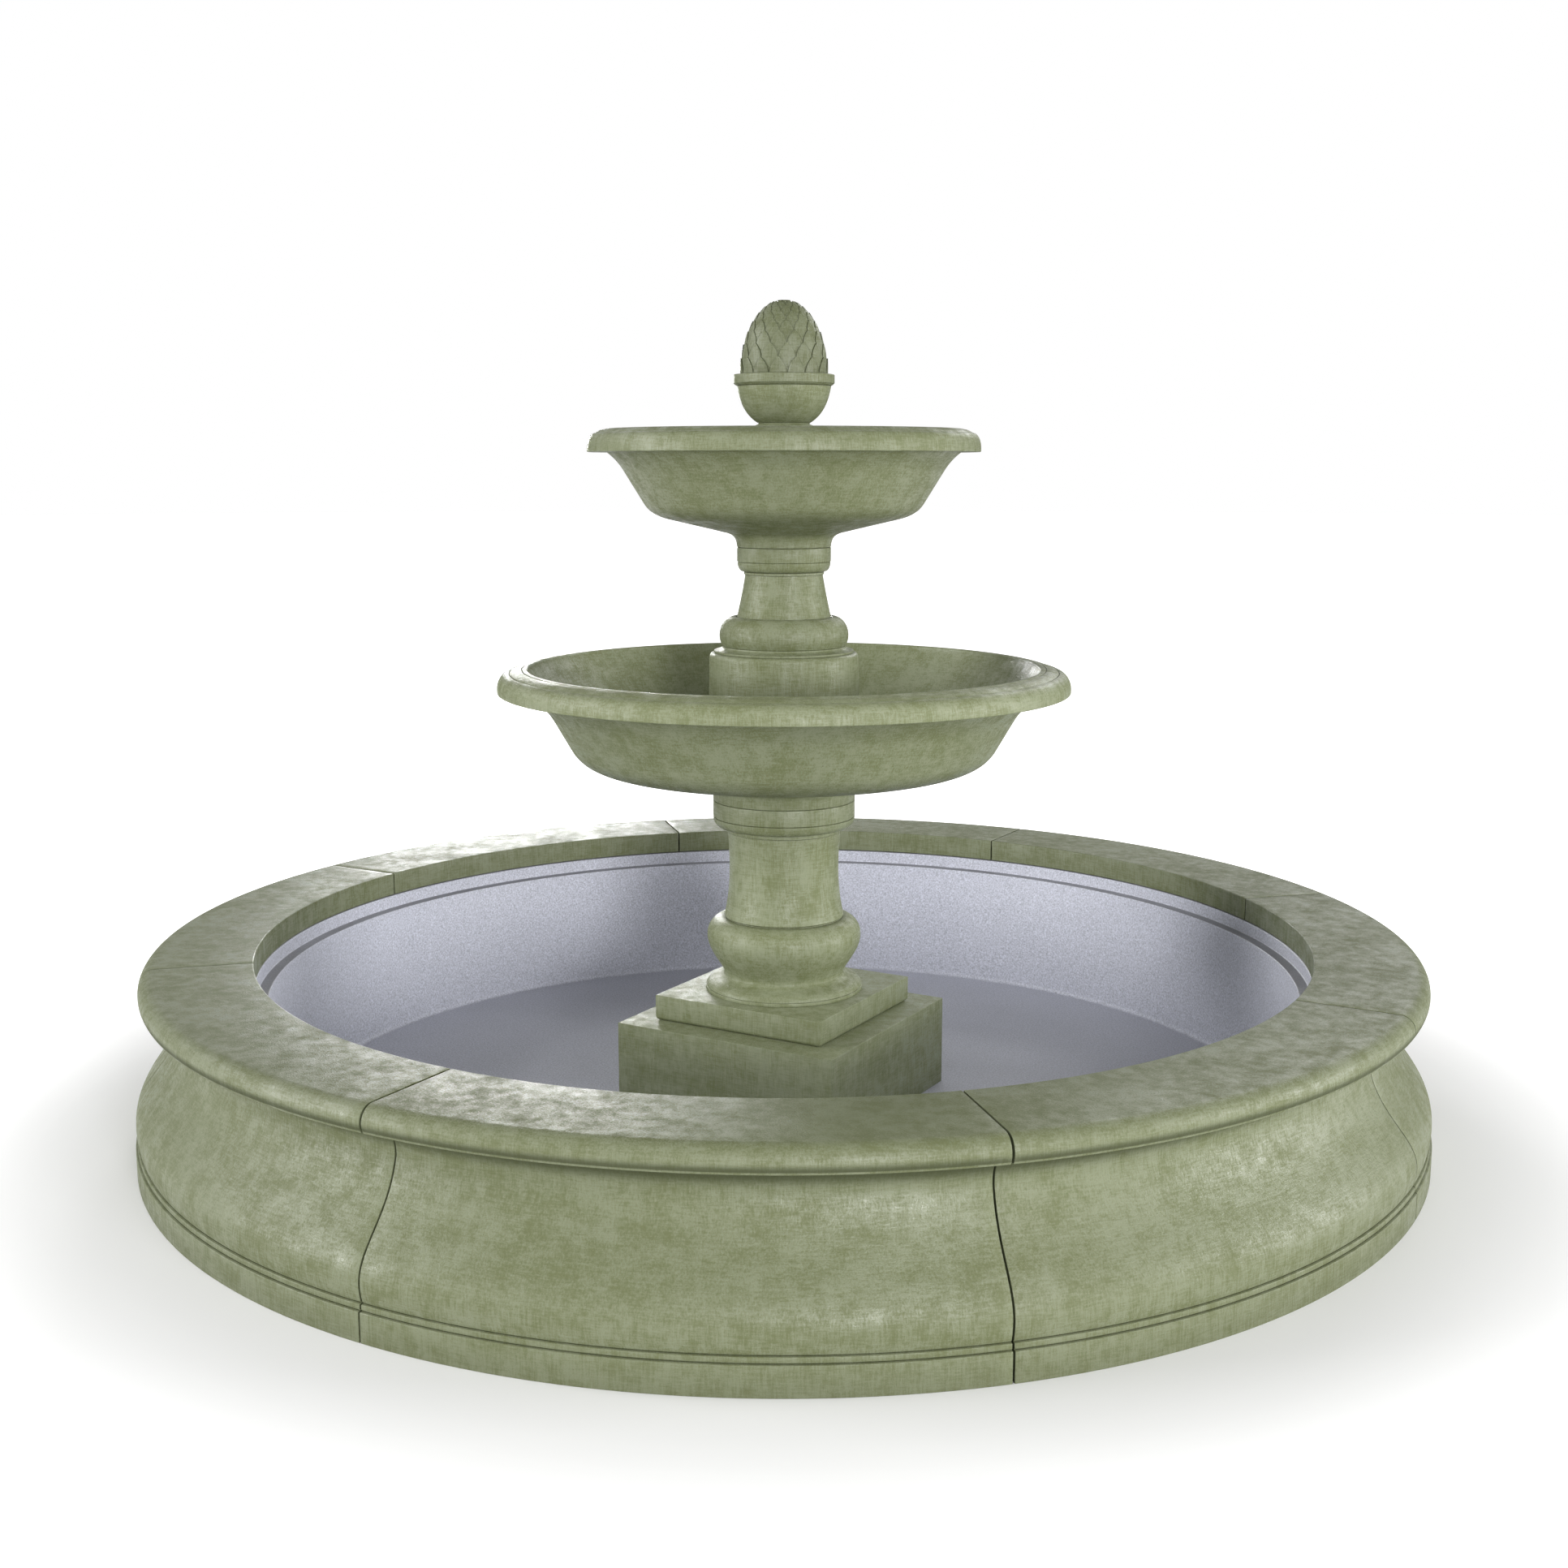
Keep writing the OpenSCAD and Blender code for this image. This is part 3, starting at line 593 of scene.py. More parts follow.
class Graph:
    """Adds nodes to a node tree and joins them."""

    def __init__(self, tree):
        self.tree = tree

    def add(self, kind, settings=None, **inputs):
        """A node of a kind, with its settings and its inputs, where _ in a name stands for a space."""
        made = self.tree.nodes.new(kind)
        for name, value in (settings or {}).items():
            setattr(made, name, value)
        for name, value in inputs.items():
            self.put(made.inputs[name.replace("_", " ")], value)
        return made

    def put(self, socket, value):
        """Feeds a socket from another socket or with a plain value."""
        if isinstance(value, bpy.types.NodeSocket):
            self.tree.links.new(value, socket)
        elif socket.type == "RGBA" and len(value) == 3:
            socket.default_value = (*value, 1)
        else:
            socket.default_value = value

    def math(self, operation, first, second=0.0, clamp=False):
        """One sum on two values."""
        made = self.add("ShaderNodeMath", {"operation": operation, "use_clamp": clamp})
        self.put(made.inputs[0], first)
        self.put(made.inputs[1], second)
        return made.outputs[0]

    def mix(self, factor, first, second, blend="MIX"):
        """A mix of two colours."""
        made = self.add("ShaderNodeMix", {"data_type": "RGBA", "blend_type": blend, "clamp_factor": True})
        self.put(made.inputs[0], factor)
        self.put(made.inputs[6], first)
        self.put(made.inputs[7], second)
        return made.outputs[2]

    def spread(self, value, low, high, to_low=0.0, to_high=1.0):
        """A value stretched smoothly from one range to another."""
        made = self.add(
            "ShaderNodeMapRange", {"interpolation_type": "SMOOTHSTEP"},
            Value=value, From_Min=low, From_Max=high, To_Min=to_low, To_Max=to_high,
        )
        return made.outputs[0]

    def noise(self, vector, scale, detail=4.0, roughness=0.5, distortion=0.0):
        """Fractal noise, from 0 to 1."""
        made = self.add(
            "ShaderNodeTexNoise", {"noise_dimensions": "3D"}, Vector=vector, Scale=scale, Detail=detail,
            Roughness=roughness, Distortion=distortion,
        )
        return made.outputs[0]

    def stored(self, name):
        """A value that each point of the piece carries."""
        settings = {"attribute_type": "GEOMETRY", "attribute_name": name}
        return self.add("ShaderNodeAttribute", settings).outputs["Fac"]

    def stretched(self, vector, scale):
        """A vector scaled along each axis."""
        return self.add("ShaderNodeMapping", Vector=vector, Scale=scale).outputs[0]


def new_group(name, inputs, outputs):
    """An empty shader group with named sockets, and the graph inside it."""
    tree = bpy.data.node_groups.new(name, "ShaderNodeTree")
    for socket_name, kind, default in inputs:
        socket = tree.interface.new_socket(socket_name, in_out="INPUT", socket_type=kind)
        socket.default_value = default
    for socket_name, kind in outputs:
        tree.interface.new_socket(socket_name, in_out="OUTPUT", socket_type=kind)
    given = tree.nodes.new("NodeGroupInput").outputs
    made = tree.nodes.new("NodeGroupOutput").inputs
    return tree, Graph(tree), given, made


def own_coordinates(graph):
    """Object coordinates moved on by the piece's own batch, so that each stone has its own pattern."""
    own = graph.add("ShaderNodeTexCoord").outputs["Object"]
    batch = graph.stored("batch")
    along = graph.math("MULTIPLY", batch, 7.31)
    across = graph.math("MULTIPLY", batch, -4.17)
    shift = graph.add("ShaderNodeCombineXYZ", X=along, Y=across, Z=0.0).outputs[0]
    return graph.add("ShaderNodeVectorMath", {"operation": "ADD"}).outputs[0], own, shift


def stone_mottle_and_shading_group():
    """Mottle of a sealed cast stone: crossed dabs of bloom, brushed streaks, sandy grain and small pits.

    The piece's tone paints light into it above zero and shade onto it below zero. Painted shade darkens its
    inner corners, joint ends, scale undersides and the parts under the coping's nose, and its foot near the
    ground.
    """
    tree, graph, given, made = new_group(
        "Stone mottle",
        [
            ("Olive", "NodeSocketColor", (0.26, 0.29, 0.14, 1)),
            ("Pale", "NodeSocketColor", (0.42, 0.46, 0.30, 1)),
            ("Pit", "NodeSocketColor", (0.1, 0.1, 0.05, 1)),
            ("Patches", "NodeSocketFloat", 30.0),
            ("Roughness", "NodeSocketFloat", 0.45),
            ("Damp", "NodeSocketFloat", 0.2),
        ],
        [("Colour", "NodeSocketColor"), ("Roughness", "NodeSocketFloat"), ("Height", "NodeSocketFloat")],
    )
    added, own, shift = own_coordinates(graph)
    adder = added.node
    graph.put(adder.inputs[0], own)
    graph.put(adder.inputs[1], shift)
    tone = graph.stored("tone")
    dabs = given["Patches"]
    upright = graph.stretched(added, (1.0, 1.0, 0.36))
    layers = (
        (graph.noise(added, 4.5, 2.0, 0.5), 0.45),
        (graph.noise(upright, graph.math("MULTIPLY", dabs, 1.15), 4.0, 0.62), 1.0),
        (graph.noise(graph.stretched(added, (0.36, 0.36, 1.0)), dabs, 4.0, 0.62), 0.9),
        (graph.noise(graph.stretched(added, (1.0, 1.0, 0.11)), 270.0, 2.0, 0.6), 0.95),
        (graph.noise(graph.stretched(added, (0.13, 0.13, 1.0)), 300.0, 2.0, 0.6), 0.75),
        (graph.noise(added, 430.0, 1.0, 0.6), 0.55),
    )
    bloom = 0.5
    for layer, weight in layers:
        bloom = graph.math("ADD", bloom, graph.math("MULTIPLY", graph.math("SUBTRACT", layer, 0.5), weight))
    mottled = graph.mix(graph.spread(bloom, 0.10, 0.90), given["Olive"], given["Pale"])
    # The piece's tone: painted light above zero, painted shade below zero.
    value = graph.math("ADD", 1.0, tone)
    toned = graph.add("ShaderNodeHueSaturation", Color=mottled, Value=value, Saturation=1.0)
    specks = graph.add("ShaderNodeTexVoronoi", {"feature": "F1"}, Vector=added, Scale=27.0, Randomness=1.0)
    size = graph.spread(graph.noise(added, 17.0, 1.0), 0.52, 0.74, -0.02, 0.06)
    ragged = graph.math("MULTIPLY", graph.math("SUBTRACT", layers[5][0], 0.5), 0.05)
    depth = graph.math("ADD", graph.math("SUBTRACT", size, specks.outputs["Distance"]), ragged)
    pits = graph.spread(depth, 0.0, 0.03)
    # Painted shade from the layer that the stone builders fill: inner corners, joint ends, scale undersides
    # and under the coping's nose.
    crevice = graph.stored("crevice")
    crease_shade = graph.spread(crevice, 0.1, 0.6, 0.0, 0.93)
    # The pits are the stone's own; the rest of this darkening is painted shade.
    dark = graph.math("MAXIMUM", graph.math("MULTIPLY", pits, 0.6), crease_shade)
    level = graph.add("ShaderNodeSeparateXYZ", Vector=own).outputs["Z"]
    # Painted shade near the ground, darker towards the bottom.
    ground_shade = graph.spread(level, GROUND_SHADE_HEIGHT, 0.0, 0.0, given["Damp"])
    graph.put(made["Colour"], graph.mix(graph.math("MAXIMUM", dark, ground_shade), toned.outputs[0], given["Pit"]))
    brush = graph.math("SUBTRACT", bloom, 0.5)
    rough = graph.math("SUBTRACT", given["Roughness"], graph.math("MULTIPLY", brush, 0.45))
    graph.put(made["Roughness"], graph.math("ADD", rough, graph.math("MULTIPLY", dark, 0.3), True))
    height = graph.math("SUBTRACT", graph.math("MULTIPLY", brush, 1.1), graph.math("MULTIPLY", pits, 0.9))
    graph.put(made["Height"], height)
    return tree


def worn_edge_and_shade_group():
    """Mask of the worn convex edges, broken up by noise, and mask of the painted shade in the hollows."""
    tree, graph, given, made = new_group(
        "Edge wear",
        [("Amount", "NodeSocketFloat", 0.5), ("Break", "NodeSocketFloat", 40.0)],
        [("Worn", "NodeSocketFloat"), ("Hollow", "NodeSocketFloat")],
    )
    bend = graph.add("ShaderNodeNewGeometry").outputs["Pointiness"]
    own = graph.add("ShaderNodeTexCoord").outputs["Object"]
    broken = graph.spread(graph.noise(own, given["Break"], 4.0, 0.6), 0.35, 0.65)
    worn = graph.math("MULTIPLY", graph.spread(bend, 0.505, 0.56), broken)
    graph.put(made["Worn"], graph.math("MULTIPLY", worn, given["Amount"], True))
    # Painted shade in concave places, found from the surface's pointiness.
    hollow = graph.spread(bend, 0.495, 0.44)
    graph.put(made["Hollow"], graph.math("MULTIPLY", hollow, given["Amount"], True))
    return tree


def moulded_group():
    """Fine orange-peel of moulded plastic or rubber: a speckled tone, its roughness and its height."""
    tree, graph, given, made = new_group(
        "Moulded skin",
        [
            ("Colour", "NodeSocketColor", (0.5, 0.5, 0.5, 1)),
            ("Speckle", "NodeSocketFloat", 0.1),
            ("Scale", "NodeSocketFloat", 300.0),
            ("Roughness", "NodeSocketFloat", 0.5),
        ],
        [("Colour", "NodeSocketColor"), ("Roughness", "NodeSocketFloat"), ("Height", "NodeSocketFloat")],
    )
    own = graph.add("ShaderNodeTexCoord").outputs["Object"]
    peel = graph.noise(own, given["Scale"], 3.0, 0.6)
    cloud = graph.noise(own, 5.0, 4.0, 0.6)
    lift = graph.math("MULTIPLY", graph.math("SUBTRACT", peel, 0.5), given["Speckle"])
    drift = graph.math("MULTIPLY", graph.math("SUBTRACT", cloud, 0.5), 0.10)
    value = graph.math("ADD", graph.math("ADD", 1.0, graph.math("MULTIPLY", lift, 2.0)), drift)
    toned = graph.add("ShaderNodeHueSaturation", Color=given["Colour"], Value=value, Saturation=1.0)
    graph.put(made["Colour"], toned.outputs[0])
    uneven = graph.math("MULTIPLY", graph.math("SUBTRACT", peel, 0.5), 0.2)
    rough = graph.math("ADD", given["Roughness"], uneven)
    graph.put(made["Roughness"], rough)
    graph.put(made["Height"], peel)
    return tree


def brushed_group():
    """Drawn metal: fine scratches along one axis and a slow stain, as tone, roughness and height."""
    tree, graph, given, made = new_group(
        "Drawn metal",
        [
            ("Colour", "NodeSocketColor", (0.5, 0.5, 0.5, 1)),
            ("Stain", "NodeSocketColor", (0.2, 0.15, 0.1, 1)),
            ("Tarnish", "NodeSocketFloat", 0.3),
            ("Roughness", "NodeSocketFloat", 0.3),
        ],
        [("Colour", "NodeSocketColor"), ("Roughness", "NodeSocketFloat"), ("Height", "NodeSocketFloat")],
    )
    own = graph.add("ShaderNodeTexCoord").outputs["Object"]
    scratch = graph.noise(graph.stretched(own, (1.0, 1.0, 12.0)), 260.0, 3.0, 0.7)
    clouds = graph.spread(graph.noise(own, 26.0, 6.0, 0.65), 0.45, 0.75)
    stain = graph.math("MULTIPLY", clouds, given["Tarnish"])
    graph.put(made["Colour"], graph.mix(stain, given["Colour"], given["Stain"]))
    rough = graph.math("ADD", given["Roughness"], graph.math("MULTIPLY", stain, 0.35))
    rough = graph.math("ADD", rough, graph.math("MULTIPLY", graph.math("SUBTRACT", scratch, 0.5), 0.2))
    graph.put(made["Roughness"], rough)
    graph.put(made["Height"], scratch)
    return tree


def group_node(graph, name, **inputs):
    """A node that uses one of the shared groups."""
    used = graph.add("ShaderNodeGroup", {"node_tree": bpy.data.node_groups[name]})
    for key, value in inputs.items():
        graph.put(used.inputs[key], value)
    return used.outputs


def new_material(slot):
    """The finish of a slot, with only a shader and its output, and the graph to build on."""
    material = bpy.data.materials.new(FINISH_NAME + slot)
    material.use_nodes = True
    material.node_tree.nodes.clear()
    graph = Graph(material.node_tree)
    shader = graph.add("ShaderNodeBsdfPrincipled")
    graph.add("ShaderNodeOutputMaterial", Surface=shader.outputs[0])
    return material, graph, shader


def finish_of(slot):
    """The finish of a slot, which fountain.finishes has to have made."""
    return bpy.data.materials[FINISH_NAME + slot]


def bump(graph, shader, height, distance, strength=1.0):
    """Relief in metres from a height."""
    lifted = graph.add("ShaderNodeBump", Height=height, Distance=distance, Strength=strength)
    graph.put(shader.inputs["Normal"], lifted.outputs[0])


def stone_material(finish):
    """Sealed cast stone in mottled sage green."""
    material, graph, shader = new_material("cast_stone")
    mottle = group_node(
        graph, "Stone mottle", Olive=finish.olive, Pale=finish.pale, Pit=finish.pit_and_shade,
        Patches=finish.patch_scale, Roughness=finish.stone_roughness, Damp=finish.ground_shade,
    )
    wear_and_shade = group_node(graph, "Edge wear", Amount=0.35, Break=55.0)
    worn = graph.mix(wear_and_shade["Worn"], mottle["Colour"], finish.pale)
    # Painted shade in the hollows, in the pit colour.
    hollow_shaded = graph.mix(wear_and_shade["Hollow"], worn, finish.pit_and_shade)
    graph.put(shader.inputs["Base Color"], hollow_shaded)
    graph.put(shader.inputs["Roughness"], mottle["Roughness"])
    shader.inputs["Specular IOR Level"].default_value = 0.30
    bump(graph, shader, mottle["Height"], 0.0006)
    return material


def moulded_material(name, tone, speckle, scale, roughness, relief):
    """Moulded plastic, rubber or ceramic."""
    material, graph, shader = new_material(name)
    skin = group_node(graph, "Moulded skin", Colour=tone, Speckle=speckle, Scale=scale, Roughness=roughness)
    graph.put(shader.inputs["Base Color"], skin["Colour"])
    graph.put(shader.inputs["Roughness"], skin["Roughness"])
    bump(graph, shader, skin["Height"], relief)
    return material


def liner_material(finish):
    """Speckled liner, with painted shade on its upward faces: strongest on the ledge under the coping, weaker
    on its floor.
    """
    material, graph, shader = new_material("liner")
    skin = group_node(graph, "Moulded skin", Colour=finish.liner, Speckle=0.85, Scale=240.0, Roughness=0.5)
    own = graph.add("ShaderNodeTexCoord")
    up = graph.add("ShaderNodeSeparateXYZ", Vector=own.outputs["Normal"]).outputs["Z"]
    height = graph.add("ShaderNodeSeparateXYZ", Vector=own.outputs["Object"]).outputs["Z"]
    patchy = graph.spread(graph.noise(own.outputs["Object"], 6.0, 5.0, 0.6), 0.2, 0.8, 0.8, 1.2)
    # Painted shade on upward faces, deeper higher up, so that the ledge under the coping is darkest.
    depth = graph.math("MULTIPLY", graph.spread(height, 0.1, 0.3, 0.13, 0.62), patchy)
    up_face_shade = graph.math("MULTIPLY", graph.spread(up, 0.6, 0.95), depth)
    graph.put(shader.inputs["Base Color"], graph.mix(up_face_shade, skin["Colour"], (0.09, 0.09, 0.085)))
    graph.put(shader.inputs["Roughness"], skin["Roughness"])
    bump(graph, shader, skin["Height"], 0.0005)
    return material


def metal_material(name, tone, stain, tarnish, roughness):
    """Drawn or cast metal."""
    material, graph, shader = new_material(name)
    metal = group_node(graph, "Drawn metal", Colour=tone, Stain=stain, Tarnish=tarnish, Roughness=roughness)
    graph.put(shader.inputs["Base Color"], metal["Colour"])
    graph.put(shader.inputs["Roughness"], metal["Roughness"])
    shader.inputs["Metallic"].default_value = 1.0
    bump(graph, shader, metal["Height"], 0.00008)
    return material


class FOUNTAIN_OT_finishes(bpy.types.Operator):
    """Makes the shared shader groups and the fountain's materials"""

    bl_idname = "fountain.finishes"
    bl_label = "Finishes"

    def execute(self, context):
        finish = context.scene.fountain_finish
        stone_mottle_and_shading_group()
        worn_edge_and_shade_group()
        moulded_group()
        brushed_group()
        stone_material(finish)
        liner_material(finish)
        moulded_material("rubber", finish.rubber, 0.25, 500.0, 0.72, 0.0003)
        moulded_material("white_pipe", finish.pipe, 0.03, 300.0, 0.38, 0.0001)
        moulded_material("pump_plastic", (0.030, 0.032, 0.034), 0.20, 900.0, 0.52, 0.0002)
        moulded_material("pump_impeller", (0.66, 0.67, 0.65), 0.03, 400.0, 0.40, 0.0001)
        moulded_material("shaft_ceramic", (0.78, 0.77, 0.73), 0.02, 600.0, 0.22, 0.00004)
        moulded_material("red_handle", (0.42, 0.030, 0.022), 0.08, 500.0, 0.42, 0.0001)
        metal_material("steel", finish.steel, (0.20, 0.17, 0.14), 0.25, 0.34)
        metal_material("brass", finish.brass, (0.13, 0.17, 0.11), 0.55, 0.33)
        return {"FINISHED"}


# ---------- stage ----------


class FOUNTAIN_OT_stage(bpy.types.Operator):
    """Sets the camera, a pale floor and soft studio light"""

    bl_idname = "fountain.stage"
    bl_label = "Stage"

    def execute(self, context):
        stage = context.scene.fountain_stage
        make_camera(context.scene, stage)
        make_floor()
        make_room(context.scene, stage)
        make_lights(stage)
        context.scene.view_settings.view_transform = "Standard"
        return {"FINISHED"}


def make_camera(scene, stage):
    """Camera that looks at the fountain's axis from its own distance and height."""
    lens = bpy.data.cameras.new("camera")
    lens.lens = stage.lens / MM
    lens.sensor_width = 36
    lens.clip_end = 200
    camera = bpy.data.objects.new("camera", lens)
    scene.collection.objects.link(camera)
    out = stage.distance
    camera.location = (math.sin(stage.turn) * out, -math.cos(stage.turn) * out, stage.height)
    camera.rotation_euler = (math.pi / 2 - stage.dip, 0, stage.turn)
    scene.camera = camera


def make_floor():
    """Large pale floor at ground level."""
    bm = bmesh.new()
    bmesh.ops.create_circle(bm, cap_ends=True, segments=96, radius=60)
    floor = new_object("studio_floor", bm)
    material, graph, shader = new_material("studio_floor")
    own = graph.add("ShaderNodeTexCoord").outputs["Object"]
    away = graph.add("ShaderNodeVectorMath", {"operation": "LENGTH"})
    graph.put(away.inputs[0], own)
    far = graph.spread(away.outputs["Value"], *FLOOR_FADE)
    seen = graph.add("ShaderNodeLightPath").outputs["Is Camera Ray"]
    graph.put(shader.inputs["Emission Strength"], graph.math("MULTIPLY", far, seen))
    shader.inputs["Base Color"].default_value = (0.85, 0.85, 0.85, 1)
    shader.inputs["Emission Color"].default_value = (1, 1, 1, 1)
    shader.inputs["Roughness"].default_value = 1.0
    shader.inputs["Specular IOR Level"].default_value = 0.0
    floor.data.materials.append(material)


def make_room(scene, stage):
    """White room with a brighter band round it, above eye level and below the ceiling."""
    world = bpy.data.worlds.new("room")
    world.use_nodes = True
    world.node_tree.nodes.clear()
    graph = Graph(world.node_tree)
    way = graph.add("ShaderNodeTexCoord").outputs["Generated"]
    up = graph.add("ShaderNodeSeparateXYZ", Vector=way).outputs["Z"]
    band = graph.math("MULTIPLY", graph.spread(up, 0.12, 0.34), graph.spread(up, 0.78, 0.52))
    level = graph.math("ADD", graph.math("MULTIPLY", band, stage.sky_band), stage.sky_base)
    light = graph.add("ShaderNodeBackground", Color=(1, 1, 1), Strength=level)
    seen = graph.add("ShaderNodeBackground", Color=(1, 1, 1), Strength=1.0)
    direct = graph.add("ShaderNodeLightPath").outputs["Is Camera Ray"]
    both = graph.add("ShaderNodeMixShader", Fac=direct)
    graph.put(both.inputs[1], light.outputs[0])
    graph.put(both.inputs[2], seen.outputs[0])
    graph.add("ShaderNodeOutputWorld", Surface=both.outputs[0])
    scene.world = world


def make_lights(stage):
    """Soft panels round the fountain. Bearings run clockwise from the camera's own, seen from above.

    A panel's brightness is the share of full white that it gives a white card facing it.
    """
    panels = (
        ("front_panel", -15, 8, (1.7, 1.6), 0.56),
        ("front_high_panel", -30, 28, (3.0, 2.0), 0.18),
        ("right_panel", -83, 8, (3.4, 1.6), 0.52),
        ("left_panel", 73, 8, (2.0, 1.6), 0.44),
        ("left_high_panel", 90, 28, (3.0, 2.0), 0.28),
        ("back_left_panel", 168, 10, (2.0, 0.9), 0.25),
        ("back_right_panel", -150, 28, (3.0, 2.0), 0.12),
    )
    reach = 9.0
    for name, bearing, rise, size, brightness in panels:
        lamp = bpy.data.lights.new(name, "AREA")
        lamp.shape = "RECTANGLE"
        lamp.size, lamp.size_y = size
        lamp.energy = brightness * (math.pi * reach) ** 2
        light = bpy.data.objects.new(name, lamp)
        bpy.context.scene.collection.objects.link(light)
        turn, lift = stage.turn - math.radians(bearing), math.radians(rise)
        out = Vector((math.sin(turn) * math.cos(lift), -math.cos(turn) * math.cos(lift), math.sin(lift)))
        light.location = out * reach + Vector((0, 0, AIM_HEIGHT))
        light.rotation_mode = "QUATERNION"
        light.rotation_quaternion = (-out).to_track_quat("-Z", "Y")
        light.visible_camera = False


# ---------- stones ----------

# How much lighter or darker than the stone's finish each piece is made. The tone stands in for light: painted
# light on the plinth, slab and large bowl, which lie in shade low down, and painted shade on the exposed
# coping, wall and small bowl.
COPING_PAINTED_SHADE = -0.09
WALL_PAINTED_SHADE = -0.09
PLINTH_PAINTED_LIGHT = 0.20
SLAB_PAINTED_LIGHT = 0.15
LARGE_BOWL_PAINTED_LIGHT = 0.10
SMALL_BOWL_PAINTED_SHADE = -0.04

# Millimetres above the coping's seat, or below the wall's top, where the painted shade under the coping's
# nose starts and is full.
COPING_UNDER_SHADE = (34, 12)
WALL_UNDER_SHADE = (58, 16)


class FOUNTAIN_OT_coping(bpy.types.Operator):
    """Lays the ring of bullnosed coping stones"""

    bl_idname = "fountain.coping"
    bl_label = "Coping"

    def execute(self, context):
        sizes = context.scene.fountain_sizes
        points, seat = coping_outline(sizes.coping_inner / MM), low_mm("coping_stone_1")
        under_shade = (seat + COPING_UNDER_SHADE[0], seat + COPING_UNDER_SHADE[1])
        for i in range(SEGMENTS):
            stone = ring_stone(f"coping_{i + 1}", points, i, sizes.joint, sizes.arris, under_shade)
            node = f"coping_stone_{i + 1}"
            place(stone, finish_of("cast_stone"), "cast_stone", node, batch=i + 1.0, tone=COPING_PAINTED_SHADE)
        return {"FINISHED"}


class FOUNTAIN_OT_wall(bpy.types.Operator):
    """Stands the ring of ogee wall stones"""

    bl_idname = "fountain.wall"
    bl_label = "Wall"

    def execute(self, context):
        sizes = context.scene.fountain_sizes
        points, top = wall_outline(), low_mm("coping_stone_1")
        under_shade = (top - WALL_UNDER_SHADE[0], top - WALL_UNDER_SHADE[1])
        for i in range(SEGMENTS):
            stone = ring_stone(f"wall_{i + 1}", points, i, sizes.joint, sizes.arris, under_shade)
            node = f"wall_segment_{i + 1}"
            place(stone, finish_of("cast_stone"), "cast_stone", node, batch=i + 11.0, tone=WALL_PAINTED_SHADE)
        return {"FINISHED"}


class FOUNTAIN_OT_liner(bpy.types.Operator):
    """Moulds the pool's liner"""

    bl_idname = "fountain.liner"
    bl_label = "Liner"

    def execute(self, context):
        points = liner_outline(context.scene.fountain_sizes.coping_inner / MM)
        tub = turned("liner_tub", points)
        place(tub, finish_of("liner"), "liner", "pool_liner")
        return {"FINISHED"}


class FOUNTAIN_OT_plinth(bpy.types.Operator):
    """Builds the hollow plinth, its slab and the pump door"""

    bl_idname = "fountain.plinth"
    bl_label = "Plinth"

    def execute(self, context):
        arris = context.scene.fountain_sizes.arris
        base = eased_copy("plinth_base", "plinth", arris)
        place(base, finish_of("cast_stone"), "cast_stone", "plinth", batch=21.0, tone=PLINTH_PAINTED_LIGHT)
        slab = slab_solid("plinth_cap")
        place(slab, finish_of("cast_stone"), "cast_stone", "plinth_slab", batch=22.0, tone=SLAB_PAINTED_LIGHT)
        door = eased_copy("access_door", "pump_door", arris)
        stone = finish_of("cast_stone")
        place(door, stone, "cast_stone", "pump_door", batch=23.0, tone=PLINTH_PAINTED_LIGHT, body="door")
        return {"FINISHED"}


def slab_solid(name):
    """Square slab whose lower edge curves in to the plinth."""
    low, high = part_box("plinth_slab")
    size, middle = high - low, (high + low) / 2
    bm = bmesh.new()
    bmesh.ops.create_cube(bm, size=1, matrix=Matrix.Translation(middle) @ Matrix.Diagonal((*size, 1)))
    under = [e for e in bm.edges if all(v.co.z < middle.z for v in e.verts)]
    bmesh.ops.bevel(
        bm, geom=under, offset=10 * MM, offset_type="OFFSET", affect="EDGES",
        segments=8, profile=0.5, material=-1,
    )
    upper = [e for e in bm.edges if len(e.link_faces) == 2 and e.calc_face_angle(0) > math.radians(60)]
    bmesh.ops.bevel(
        bm, geom=upper, offset=1.8 * MM, offset_type="OFFSET", affect="EDGES",
        segments=3, profile=0.5, material=-1,
    )
    return new_object(name, bm)


class FOUNTAIN_OT_pedestals(bpy.types.Operator):
    """Turns the two pedestals and the drum between them"""

    bl_idname = "fountain.pedestals"
    bl_label = "Pedestals"

    def execute(self, context):
        # Rows: name, outline, CAD node, batch and tone; the tone is painted light on the vase pedestal, in
        # shade under the large bowl, and painted shade on the short pedestal.
        made = (
            ("vase_pedestal", lower_pedestal_outline(), "lower_pedestal", 31.0, 0.15),
            ("drum", drum_outline(), "pedestal_drum", 32.0, 0.0),
            ("short_pedestal", upper_pedestal_outline(), "upper_pedestal", 33.0, -0.04),
        )
        for name, points, node, batch, tone in made:
            place(turned(name, points), finish_of("cast_stone"), "cast_stone", node, batch=batch, tone=tone)
        return {"FINISHED"}


class FOUNTAIN_OT_bowls(bpy.types.Operator):
    """Turns the two bowls"""

    bl_idname = "fountain.bowls"
    bl_label = "Bowls"

    def execute(self, context):
        lower = turned("large_bowl", lower_bowl_outline())
        place(lower, finish_of("cast_stone"), "cast_stone", "lower_bowl", batch=41.0, tone=LARGE_BOWL_PAINTED_LIGHT)
        upper = turned("small_bowl", upper_bowl_outline())
        place(upper, finish_of("cast_stone"), "cast_stone", "upper_bowl", batch=42.0, tone=SMALL_BOWL_PAINTED_SHADE)
        return {"FINISHED"}


# ---------- finial ----------

SCALES_ROUND = 15
SCALE_ROWS = 8
SCALE_TURN = math.radians(-55.9)
SCALE_DEPTH = 2.4
# Strength of the painted shade along the rims of the finial's scales.
SCALE_RIM_SHADE = 0.55
